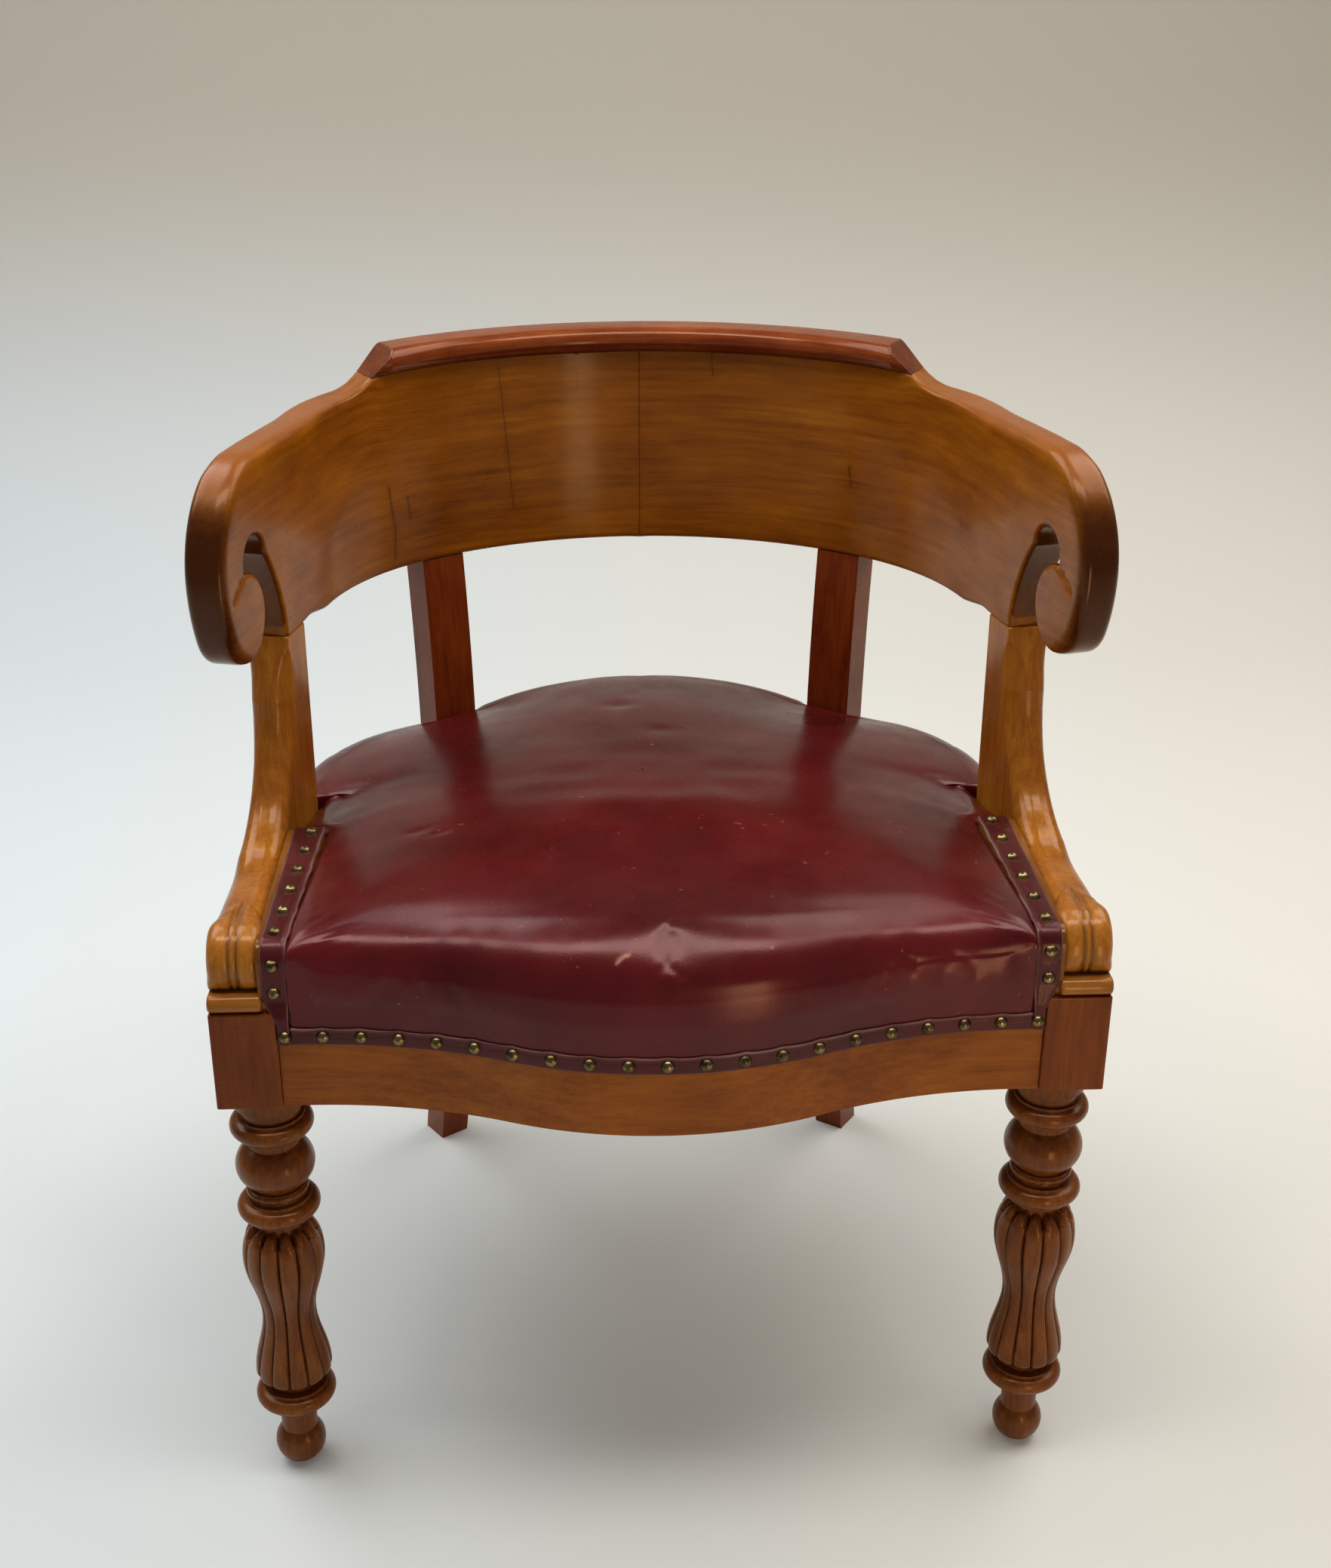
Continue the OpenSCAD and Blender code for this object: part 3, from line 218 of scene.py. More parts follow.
def finishPiece(piece, mat, node, slotName, grain=None, **marks):
    # grain (three rows, in millimetres) and the marks are what the finish reads at each point
    if grain is not None:
        setAttribute(piece, "grain", np.stack(grain, 1) * mm)
    for name, values in marks.items():
        setAttribute(piece, name, np.broadcast_to(np.ravel(values), len(piece.data.vertices)))
    dress(piece, mat)
    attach(piece, "root")
    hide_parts(node)
    return piece


# A board with rounded edges. Its outline lies in (a, b); its half thickness at a point is
# H - r + sqrt(r^2 - (r - d)^2), where d is the distance in from the outline and r the edge radius
def board(name, outline, half, radius, place, step=2.5, grid=7.0, rimCols=3,
          fractions=(0.05, 0.16, 0.34, 0.6, 1.0, 1.6), extra=None):
    line = resample(outline, step)
    n = len(line)
    r = radius(line)
    along = unit(np.roll(line, -1, axis=0) - np.roll(line, 1, axis=0))
    inward = np.stack([-along[:, 1], along[:, 0]], 1) * (1 if loopArea(line) > 0 else -1)

    def radiusAt(at):
        return np.interp(at, np.arange(n + 1), np.append(r, r[0]))

    # rings of points at parts of the edge radius, thrown out where they come too near another edge
    free = []
    for f in fractions:
        ring = line + inward * (f * r)[:, None]
        d, _ = segmentDistance(ring, line)
        free.append(ring[(d > 0.93 * f * r) & insideLine(ring, line)])
    # an even grid over the flat middle
    lo, hi = line.min(0), line.max(0)
    gx, gy = np.meshgrid(np.arange(lo[0] + grid / 2, hi[0], grid), np.arange(lo[1] + grid / 2, hi[1], grid))
    field = np.stack([gx.ravel(), gy.ravel()], 1)
    field = field[insideLine(field, line)]
    d, at = segmentDistance(field, line)
    free.append(field[d > 1.6 * radiusAt(at) + grid * 0.3])
    if extra is not None:
        free.append(extra)
    flat = np.vstack([line] + free)
    edges = [(k, (k + 1) % n) for k in range(n)]
    verts, _, faces, origin, _, _ = delaunay_2d_cdt([Vector(p) for p in flat], edges, [], 1, 1e-4)
    flat = np.array([tuple(v) for v in verts])
    where = np.zeros(n, int)
    for k, sources in enumerate(origin):
        for s in sources:
            if s < n:
                where[s] = k
    d, at = segmentDistance(flat, line)
    r = radiusAt(at)
    h = half(flat) - r + np.sqrt(np.maximum(r ** 2 - (r - np.minimum(d, r)) ** 2, 0))
    m = len(flat)
    points = [place(flat, h), place(flat, -h)]
    flats, depths, halves = [flat, flat], [d, d], [h, -h]
    # the rim between the two faces, in a few columns
    cols = [where]
    for c in range(1, rimCols):
        t = 1 - 2 * c / rimCols
        cols.append(2 * m + (c - 1) * n + np.arange(n))
        points.append(place(line, h[where] * t))
        flats.append(line)
        depths.append(np.zeros(n))
        halves.append(h[where] * t)
    cols.append(where + m)
    quads = [np.stack([a, np.roll(a, -1), np.roll(b, -1), b], 1) for a, b in zip(cols[:-1], cols[1:])]
    tris = list(faces) + [[m + k for k in f[::-1]] for f in faces]
    piece = addMesh(name, np.vstack(points), tris + np.vstack(quads).tolist())
    return piece, np.vstack(flats), np.concatenate(depths), np.concatenate(halves), line


def toLinear(colour):
    # an sRGB hex colour as the linear values that Blender works in
    v = [int(colour[k:k + 2], 16) / 255 for k in (1, 3, 5)]
    return tuple(c / 12.92 if c <= 0.04045 else ((c + 0.055) / 1.055) ** 2.4 for c in v) + (1.0,)


def newMaterial(name):
    mat = bpy.data.materials.new(name)
    mat.use_nodes = True
    mat.node_tree.nodes.clear()
    return mat, mat.node_tree


def addNode(tree, kind, out=0, stops=(), settings=None, **inputs):
    # in3=... feeds input 3 and Scale=... the input of that name, with a socket, a number or a hex colour;
    # stops are a ramp's places and colours, and what comes back is the output asked for
    node = tree.nodes.new("ShaderNode" + kind)
    for key, value in (settings or {}).items():
        setattr(node, key, value)
    for key, value in inputs.items():
        socket = node.inputs[int(key[2:]) if key[2:].isdigit() else key.replace("_", " ")]
        if isinstance(value, bpy.types.NodeSocket):
            tree.links.new(value, socket)
        else:
            socket.default_value = toLinear(value) if isinstance(value, str) else value
    while stops and len(node.color_ramp.elements) < len(stops):
        node.color_ramp.elements.new(0.5)
    for k, (at, colour) in enumerate(stops):
        node.color_ramp.elements[k].position = at
        node.color_ramp.elements[k].color = toLinear(colour)
    return node.outputs[out] if len(node.outputs) else node


mixing = dict(data_type="RGBA")
multiplying = dict(data_type="RGBA", blend_type="MULTIPLY")
easing = dict(interpolation_type="SMOOTHSTEP")
adding = dict(operation="ADD", use_clamp=True)
timesThen = dict(operation="MULTIPLY_ADD")
times = dict(operation="MULTIPLY")


# French-polished hardwood: streaks of grain a few millimetres wide, short dark pores,
# cloudy patches of stain, and a clear shellac film that is duller where it is rubbed.
# Where carved is true the grain, the wear, and the stains together with painted shade come from the piece's
# own points
def polishedWood(name, look, along="x", carved=False):
    mat, tree = newMaterial(name)
    if carved:
        source = addNode(tree, "Attribute", "Vector", settings=dict(attribute_name="grain"))
    else:
        source = addNode(tree, "TexCoord", "Object")
    turn = {"x": (0, 0, 0), "y": (0, 0, math.pi / 2), "z": (0, math.pi / 2, 0)}[along]
    turned = addNode(tree, "Mapping", in0=source, Rotation=turn)
    warp = addNode(tree, "TexNoise", "Color", in0=turned, Scale=7.0, Detail=2.0)
    wave = 0.007  # metres the grain wanders sideways
    bent = addNode(tree, "VectorMath", settings=timesThen, in0=warp, in1=(0.0, wave, wave), in2=turned)
    # streaks about 4 mm wide and 90 long, pores about 1 by 17, patches about 40 by 80
    streakAt = addNode(tree, "Mapping", in0=bent, Scale=(11, 230, 230))
    streak = addNode(tree, "TexNoise", in0=streakAt, Scale=1.0, Detail=6.0, Roughness=0.7)
    fineAt = addNode(tree, "Mapping", in0=bent, Scale=(60, 950, 950))
    fine = addNode(tree, "TexNoise", in0=fineAt, Scale=1.0, Detail=3.0, Roughness=0.65)
    patchAt = addNode(tree, "Mapping", in0=turned, Scale=(13, 26, 26))
    patch = addNode(tree, "TexNoise", in0=patchAt, Scale=1.0, Detail=3.0, Roughness=0.55)
    patchPart = addNode(tree, "Math", settings=times, in0=patch, in1=0.45)
    both = addNode(tree, "Math", settings=timesThen, in0=streak, in1=0.55, in2=patchPart)
    colour = addNode(tree, "ValToRGB", in0=both, stops=[
        (0.27, look["dark"]), (0.45, look["mid"]), (0.58, look["light"]), (0.75, look["pale"])])
    pores = addNode(tree, "MapRange", settings=easing, in0=fine, in1=0.34, in2=0.47, in3=0.72, in4=1.0)
    grey = addNode(tree, "CombineColor", in0=pores, in1=pores, in2=pores)
    darker = addNode(tree, "Mix", 2, settings=multiplying, in0=1.0, in6=colour, in7=grey)
    colour = addNode(tree, "Mix", 2, settings=mixing, in0=look.get("poreShare", 0.6), in6=colour, in7=darker)
    rub = addNode(tree, "TexNoise", in0=turned, Scale=34.0, Detail=4.0, Roughness=0.6)
    rough = addNode(tree, "MapRange", settings=easing, in0=rub, in1=0.3, in2=0.7, in3=look["gloss"],
                    in4=look["dull"])
    if carved:
        wear = addNode(tree, "Attribute", "Fac", settings=dict(attribute_name="wear"))
        # real stains and painted shade, mixed into the colour and made glossier
        stain = addNode(tree, "Attribute", "Fac", settings=dict(attribute_name="stain"))
        speckle = addNode(tree, "TexNoise", in0=turned, Scale=140.0, Detail=3.0)
        broken = addNode(tree, "Math", settings=timesThen, in0=speckle, in1=0.9, in2=-0.45)
        worn = addNode(tree, "Math", settings=adding, in0=wear, in1=broken)
        worn = addNode(tree, "Math", settings=dict(times, use_clamp=True), in0=worn, in1=wear)
        colour = addNode(tree, "Mix", 2, settings=mixing, in0=worn, in6=colour,
                     in7=look.get("worn", "#b98a55"))
        colour = addNode(tree, "Mix", 2, settings=mixing, in0=stain, in6=colour,
                     in7=look.get("stain", "#2a130a"))
        less = addNode(tree, "Math", settings=timesThen, in0=stain, in1=-0.45, in2=1.0)
        rough = addNode(tree, "Math", settings=times, in0=rough, in1=less)
    bump = addNode(tree, "Bump", Strength=look.get("bump", 0.12), Distance=0.0006, Height=fine)
    # shellac is amber, so it warms what it covers and what it reflects
    shader = addNode(tree, "BsdfPrincipled", Base_Color=colour, Roughness=rough, Normal=bump, IOR=1.5,
                     Specular_IOR_Level=0.32, Specular_Tint="#ffbe7e", Coat_Tint="#ffd9a0",
                     Coat_Weight=look["film"], Coat_Roughness=look.get("filmRough", 0.12))
    addNode(tree, "OutputMaterial", Surface=shader)
    return mat


# each look's stain colour is also the colour of the painted shade on its carved pieces
woodLooks = dict(
    band=dict(dark="#5c2c05", mid="#844809", light="#99590e", pale="#b0731a", poreShare=0.5, gloss=0.25,
              dull=0.38, film=0.18, filmRough=0.14, worn="#8d5128", stain="#2a0b04"),
    crest=dict(dark="#4c1c09", mid="#722f10", light="#8a431b", pale="#9d572b", gloss=0.20, dull=0.32,
               film=0.3, filmRough=0.10, worn="#a3704a", stain="#27120c"),
    support=dict(dark="#6f3d0f", mid="#8f5414", light="#a66a1f", pale="#bc8333", gloss=0.20, dull=0.34,
                 film=0.3, worn="#bf8a4c", stain="#301607"),
    leg=dict(dark="#3c1a08", mid="#63300e", light="#7a4417", pale="#925823", gloss=0.22, dull=0.38, film=0.2,
             filmRough=0.14, worn="#9a6630", stain="#210e05"),
    block=dict(dark="#461907", mid="#662a0a", light="#783811", pale="#8a491b", gloss=0.26, dull=0.40,
               film=0.15, filmRough=0.18),
    rail=dict(dark="#642c09", mid="#83420e", light="#985413", pale="#ab681e", gloss=0.26, dull=0.40,
              film=0.15, filmRough=0.18),
    sideRail=dict(dark="#4c2009", mid="#6c340f", light="#804318", pale="#935624", gloss=0.28, dull=0.42,
                  film=0.15, filmRough=0.18),
    post=dict(dark="#461606", mid="#6c270a", light="#7f360f", pale="#90481b", gloss=0.25, dull=0.38, film=0.2,
              filmRough=0.16),
    plain=dict(dark="#9c7443", mid="#b48b58", light="#c49c69", pale="#d1ad7c", gloss=0.6, dull=0.75, film=0.0,
               bump=0.3),
)


# Drum-dyed hide with a glazed finish: fine grain about a millimetre across, cloudy burgundy dye,
# a broad soft sheen, small pale rub marks, and pale edges where wear is marked; on the strips the pale by the
# fold is also a painted highlight
def glazedLeather(name, look):
    mat, tree = newMaterial(name)
    at = addNode(tree, "TexCoord", "Object")
    cloud = addNode(tree, "TexNoise", in0=at, Scale=11.0, Detail=4.0, Roughness=0.55)
    colour = addNode(tree, "ValToRGB", in0=cloud,
                     stops=[(0.30, look["dark"]), (0.50, look["mid"]), (0.72, look["light"])])
    flecks = addNode(tree, "TexNoise", in0=at, Scale=170.0, Detail=2.0)
    flecks = addNode(tree, "MapRange", settings=easing, in0=flecks, in1=0.68, in2=0.76, in3=0, in4=0.35)
    areas = addNode(tree, "TexNoise", in0=at, Scale=23.0, Detail=1.0)
    areas = addNode(tree, "MapRange", settings=easing, in0=areas, in1=0.5, in2=0.62, in3=0, in4=1)
    fleck = addNode(tree, "Math", settings=times, in0=flecks, in1=areas)
    colour = addNode(tree, "Mix", 2, settings=mixing, in0=fleck, in6=colour, in7=look["rubbed"])
    wear = addNode(tree, "Attribute", "Fac", settings=dict(attribute_name="wear"))
    colour = addNode(tree, "Mix", 2, settings=mixing, in0=wear, in6=colour, in7=look["edge"])
    patch = addNode(tree, "TexNoise", in0=at, Scale=30.0, Detail=3.0)
    rough = addNode(tree, "MapRange", settings=easing, in0=patch, in1=0.35, in2=0.7, in3=look["gloss"],
                    in4=look["dull"])
    cells = addNode(tree, "TexVoronoi", settings=dict(feature="SMOOTH_F1"), in0=at, Scale=820.0)
    folds = addNode(tree, "TexNoise", in0=at, Scale=120.0, Detail=3.0)
    height = addNode(tree, "Math", settings=timesThen, in0=folds, in1=0.8, in2=cells)
    bump = addNode(tree, "Bump", Strength=0.12, Distance=0.0006, Height=height)
    shader = addNode(tree, "BsdfPrincipled", Base_Color=colour, Roughness=rough, Normal=bump, IOR=1.5,
                     Specular_IOR_Level=0.34, Specular_Tint="#ff9f97", Coat_Weight=0.24, Coat_Roughness=0.18)
    addNode(tree, "OutputMaterial", Surface=shader)
    return mat


# Metal with an old lacquer or a dull skin: dark in the hollows, rubbed bright in between;
# scale is patches a metre
def agedMetal(name, dark, bright, low, high, scale=240.0):
    mat, tree = newMaterial(name)
    at = addNode(tree, "TexCoord", "Object")
    tarnish = addNode(tree, "TexNoise", in0=at, Scale=scale, Detail=3.0)
    colour = addNode(tree, "ValToRGB", in0=tarnish, stops=[(0.36, dark), (0.62, bright)])
    rough = addNode(tree, "MapRange", settings=easing, in0=tarnish, in1=0.3, in2=0.7, in3=high, in4=low)
    bump = addNode(tree, "Bump", Strength=0.1, Distance=0.0003, Height=tarnish)
    shader = addNode(tree, "BsdfPrincipled", Base_Color=colour, Roughness=rough, Normal=bump, Metallic=1.0)
    addNode(tree, "OutputMaterial", Surface=shader)
    return mat


# Jute or coir yarn in plain weave, pitch in threads a metre; drawn as coarse as it needs to show
def wovenJute(name, dark, light, pitch):
    mat, tree = newMaterial(name)
    at = addNode(tree, "TexCoord", "Object")
    waves = []
    for turn in (0.0, math.pi / 2):
        turned = addNode(tree, "Mapping", in0=at, Rotation=(0, 0, turn))
        waves.append(addNode(tree, "TexWave", "Fac", settings=dict(bands_direction="X"), in0=turned,
                             Scale=pitch / 2 / 3.1416, Distortion=0.8, Detail=1.0, Detail_Scale=2.0))
    weave = addNode(tree, "Math", settings=times, in0=waves[0], in1=waves[1])
    hairy = addNode(tree, "TexNoise", in0=at, Scale=420.0, Detail=3.0)
    height = addNode(tree, "Math", settings=timesThen, in0=hairy, in1=0.5, in2=weave)
    colour = addNode(tree, "ValToRGB", in0=height, stops=[(0.25, dark), (0.85, light)])
    bump = addNode(tree, "Bump", Strength=0.5, Distance=0.0008, Height=height)
    shader = addNode(tree, "BsdfPrincipled", Base_Color=colour, Roughness=0.9, Normal=bump)
    addNode(tree, "OutputMaterial", Surface=shader)
    return mat


bandWood = polishedWood("Mahogany French polished band", woodLooks["band"], carved=True)
crestWood = polishedWood("Mahogany French polished crest", woodLooks["crest"], carved=True)
supportWood = polishedWood("Beech French polished support", woodLooks["support"], carved=True)
legWood = polishedWood("Mahogany turned and polished", woodLooks["leg"], carved=True)
blockWood = polishedWood("Mahogany polished leg block", woodLooks["block"], carved=True)
railWood = polishedWood("Beech rail stained and polished", woodLooks["rail"])
sideRailWood = polishedWood("Mahogany rail along the side", woodLooks["sideRail"], along="y")
backRailWood = polishedWood("Mahogany rail across the back", woodLooks["sideRail"])
postWood = polishedWood("Mahogany rear leg", woodLooks["post"], along="z")
plainWood = polishedWood("Birch unfinished", woodLooks["plain"])
seatHide = glazedLeather("Hide glazed burgundy", dict(
    dark="#3e080b", mid="#4e0d11", light="#5c1417", rubbed="#a86a62", edge="#c4917c", gloss=0.24, dull=0.34))
stripHide = glazedLeather("Hide strip burgundy", dict(
    dark="#310709", mid="#3f0b0e", light="#4d1316", rubbed="#a9736a", edge="#b08a80", gloss=0.32, dull=0.46))
nailBrass = agedMetal("Brass nails antiqued", "#4c3e29", "#8a764c", 0.22, 0.34, scale=130.0)
screwSteel = agedMetal("Steel screws dull", "#4c4a46", "#8d8a84", 0.35, 0.5)
springSteel = agedMetal("Steel spring wire", "#3b3733", "#77716a", 0.35, 0.55)
webJute = wovenJute("Jute webbing", "#6d5433", "#b99a68", 1300.0)
hessianJute = wovenJute("Jute hessian", "#7f6842", "#c2a878", 620.0)
fibre = wovenJute("Coir fibre stuffing", "#5b3c1f", "#a07a48", 900.0)
print("materials made")

# the CAD nodes that stay as they are
for mat, names in ((railWood, ["front_rail"]), (sideRailWood, ["side_rail_left", "side_rail_right"]),
                   (backRailWood, ["back_rail"]), (postWood, ["rear_leg_left", "rear_leg_right"]),
                   (plainWood, ["band_dowels", "support_dowels", "corner_blocks"]),
                   (screwSteel, ["corner_screws"]),
                   (nailBrass, ["front_nails", "side_nails_left", "side_nails_right", "rear_nails"])):
    for name in names:
        dress(nodes[name], mat)


# The hooped band and the arms. The plan is a half circle of radius backR and shoulderR, then a straight
# arm; the scroll is cut from the wall by a round eye, a round-topped slot and a wide drop
band = dict(low=593.0, top=757.0, armTop=750.0, thick=30.0, backR=295.0, shoulderR=205.0, shoulderA=35.0,
            splay=13.0, backY=475.0, armRun=96.0, reach=110.0, scrollR=78.0, eyeR=33.0, eyeIn=40.0,
            eyeDown=112.0, slotR=20.0, slotOut=50.0, slotDown=76.0, rampX=54.0, rampR=55.0, rampA=42.0,
            cutTurn=27.0, crestH=20.0, crestProud=8.0, supportD=35.0)
backCy = band["backY"] - band["backR"]
firstA, lastA = math.radians(band["shoulderA"]), math.radians(90 - band["splay"])
splayA = math.radians(band["splay"])
hub = np.array([(band["backR"] - band["shoulderR"]) * math.sin(firstA),
                backCy + (band["backR"] - band["shoulderR"]) * math.cos(firstA)])
backRun = band["backR"] * firstA
hoopRun = backRun + band["shoulderR"] * (lastA - firstA)
armFrom = hoopRun + band["armRun"]
ahead = np.array([math.cos(lastA), -math.sin(lastA)])
armEnd = hub + band["shoulderR"] * np.array([math.sin(lastA), math.cos(lastA)])
seamZ = band["low"] + 7
seamY = armEnd[1] - band["armRun"] * math.cos(splayA)
seamInX = armEnd[0] + band["armRun"] * math.sin(splayA)


def wallAt(s, m):
    # s runs along the inner face from the middle of the back, m out through the wall
    s, m = np.broadcast_arrays(np.asarray(s, float), np.asarray(m, float))
    back = s < backRun
    a = np.where(back, s / band["backR"], firstA + (s - backRun) / band["shoulderR"])
    a = np.minimum(a, lastA)
    cx, cy = np.where(back, 0, hub[0]), np.where(back, backCy, hub[1])
    r = np.where(back, band["backR"], band["shoulderR"]) + m
    run = np.maximum(s - hoopRun, 0)
    return np.stack([cx + r * np.sin(a) + ahead[0] * run, cy + r * np.cos(a) + ahead[1] * run], -1)


def cutHeight(xy):
    # height of the ramp, hollow and arm top that cut the shoulders, seen along the turned cut
    t, ra = math.radians(band["cutTurn"]), math.radians(band["rampA"])
    x = np.abs(xy[..., 0]) * math.cos(t) - xy[..., 1] * math.sin(t)
    rampX, rampR, low = band["rampX"], band["rampR"], band["armTop"] - 3
    footX, footZ = rampX - rampR * math.sin(ra), low + rampR * (1 - math.cos(ra))
    hollow = low + rampR - np.sqrt(np.maximum(rampR ** 2 - (x - rampX) ** 2, 0))
    z = np.where(x < footX, footZ + (footX - x) * math.tan(ra), hollow)
    z = np.where(x > rampX, low, z)
    return np.where(x > rampX + 40, low + share((x - rampX - 40) / 70) * 3, z)


def bandTop(s, m):
    # the cut's height, no higher than the top of the band
    return np.minimum(cutHeight(wallAt(s, m)), band["top"])


def armOutline():
    # half the hoop laid flat: s from the middle of the back to the scroll's front, and height
    frontX, frontZ = band["armRun"] + band["reach"], band["armTop"] - band["scrollR"]
    eyeX, eyeZ = frontX - band["eyeIn"], band["armTop"] - band["eyeDown"]
    slotX, slotZ = band["armRun"] + band["slotOut"], band["armTop"] - band["slotDown"]
    wide = frontX - eyeX
    dropR = (wide ** 2 + (frontZ - eyeZ) ** 2 - band["eyeR"] ** 2) / (2 * (wide - band["eyeR"]))
    dropA = math.degrees(math.atan2(frontZ - eyeZ, eyeX - frontX + dropR))
    t = np.linspace(0, 1, 14)
    rise = np.stack([t * (band["armRun"] - band["supportD"] - 8),
                     band["low"] + (seamZ - band["low"]) * t * t * (3 - 2 * t)], 1)
    under = np.vstack([[[-hoopRun, band["low"]]], rise, [[band["armRun"], seamZ]]])
    c = np.radians(np.arange(1, 9) * 10)
    lug = np.stack([slotX - band["slotR"] - 27 * np.cos(c) ** 2 - 3 * np.cos(c),
                    seamZ - 4 + (slotZ - seamZ + 4) * np.sin(c)], 1)
    # the slot's round top meets the round end at its highest point
    over = arc(slotX, slotZ, band["slotR"], 180, -7, 24)
    eye = arc(eyeX, eyeZ, band["eyeR"], 90, 360 - dropA, 60)
    drop = arc(frontX - dropR, frontZ, dropR, -dropA, 0, 24)[1:]
    scroll = arc(frontX - band["scrollR"], frontZ, band["scrollR"], 0, 90, 40)[1:]
    s = np.linspace(hoopRun + frontX - band["scrollR"], 0, 220)[1:]
    top = np.stack([s - hoopRun, bandTop(s, band["thick"] / 2)], 1)
    return np.vstack([under, lug, over, eye, drop, scroll, top]) + [hoopRun, 0]


# marks on the inner face: lines of (run from the middle, height), and their half width
bandMarks = {
    -1: dict(crack=[([(53, 756), (53, 726)], 0.5), ([(122, 750), (118, 702), (112, 629)], 0.45)],
             drip=[([(234, 664), (232, 645), (229, 628), (231, 604)], 1.7), ([(214, 652), (212, 634)], 1.4)],
             scratch=[([(334, 741), (369, 691), (404, 643)], 0.5), ([(300, 700), (322, 661)], 0.35)]),
    1: dict(crack=[([(62, 756), (63, 738)], 0.45)],
            drip=[([(188, 668), (190, 655)], 1.2)],
            scratch=[([(141, 700), (176, 672)], 0.4), ([(268, 718), (281, 664)], 0.4),
                     ([(352, 700), (391, 688)], 0.4)]),
}


def bandRadius(p):
    # nearly sharp under the crest and at the joint, growing round along the arm and the scroll
    crestEnd = 300.0
    r = np.full(len(p), 3.5)
    onTop = (p[:, 1] > band["armTop"] - 6) & (p[:, 0] > crestEnd)
    r = np.where(onTop, np.clip(3.0 + (p[:, 0] - crestEnd) * 0.12, 3.0, 9.5), r)
    r = np.where((p[:, 1] > band["top"] - 2) & (p[:, 0] < crestEnd), 0.8, r)
    outside = (p[:, 0] > armFrom + 60) & ~onTop
    r = np.where(outside & ((p[:, 0] - hoopRun > 170) | (p[:, 1] > 700)), 7.5, r)
    r = np.where(p[:, 0] < 2, 0.7, r)
    r = np.where((np.abs(p[:, 1] - seamZ) < 1) & (p[:, 0] > hoopRun + 50), 1.2, r)
    return evened(r, 10)


def makeBand(side):
    half = band["thick"] / 2
    marks = [(kind, resample(np.array(line, float), 2.0, closed=False), wide)
             for kind, rows in bandMarks[side].items() for line, wide in rows]

    def place(p, t):
        xy = wallAt(p[:, 0], half + t)
        # the ramp is cut square to the cutter, so its height changes a little through the wall
        mid, here = bandTop(p[:, 0], half), np.minimum(cutHeight(xy), band["top"])
        swing = share((p[:, 1] - 680) / (mid - 680)) * share((hoopRun + 110 - p[:, 0]) / 60)
        return np.stack([xy[:, 0], xy[:, 1], p[:, 1] + (here - mid) * swing], 1) * [side, 1, 1]

    # fine rows of points carry the curl line cut into the round end, and the marks
    eyeS, eyeZ = armFrom + band["reach"] - band["eyeIn"], band["armTop"] - band["eyeDown"]
    t = np.linspace(0, 1, 34)
    curl = np.stack([eyeS - (1 - t) * 1.0 + 24 * np.sin(t * 1.3) * t ** 0.3,
                     eyeZ + band["eyeR"] - 1 - 13 * t ** 1.6], 1)
    rows = [curl + [0, k * 0.8] for k in (-1, 0, 1)]
    rows += [line + [k * wide * 1.3, 0] for _, line, wide in marks for k in (-1, 0, 1)]
    piece, flat, depth, t, _ = board("band_wood_" + sideName[side], armOutline(),
                                     lambda p: np.full(len(p), half), bandRadius, place,
                                     step=2.2, grid=6.5, rimCols=5, extra=np.vstack(rows))
    s, z = flat[:, 0], flat[:, 1]
    d, _ = segmentDistance(flat, curl, closed=False)
    cut = 1.1 * bell(d, 0.9) * (depth > 1.0)
    movePoints(piece, placePoints(piece) - pointNormals(piece) * (cut * mm)[:, None])
    # rubbed pale along the edges and on top of the arms, less so on the dark scroll
    edge = bell(np.maximum(depth - 0.4, 0), 1.1) * (depth < 4)
    rubbedTop = share(1 - depth / 7) * (z > 735) * (s > 300)
    wear = 0.30 * edge * (s > 4) + 0.55 * rubbedTop
    wear *= 1 - 0.8 * share((s - armFrom - 20) / 60) * (z < 715)
    marked = np.zeros(len(flat))
    for kind, line, wide in marks:
        d, _ = segmentDistance(flat, line, closed=False)
        mark = bell(d, wide) * (t < 0)
        if kind == "scratch":
            wear = np.maximum(wear, 0.75 * mark)
        else:
            marked = np.maximum(marked, mark * (0.8 if kind == "crack" else 0.6))
    # painted shade on the scroll's front, which faces away from the lamps, with some darkening from handling,
    # and on the shaded walls of the slot; the joint in the middle is dark for real
    scrollFrontShade = share((s - armFrom - 62) / 40) * np.clip(1.1 - depth / 15, 0, 1) * share((751 - z) / 30)
    slotS = armFrom + band["slotOut"]
    slotWallShade = (depth < 0.6) * (np.hypot(s - slotS, z - 690) < 95) * (z < 700) * (s < slotS + 42)
    stain = share(0.9 * scrollFrontShade + 0.65 * slotWallShade + 0.28 * bell(s, 1.0) + marked)
    return finishPiece(piece, bandWood, "band_" + sideName[side], "polished_wood", grain=(s * side, t, z),
                       wear=share(wear), stain=stain)


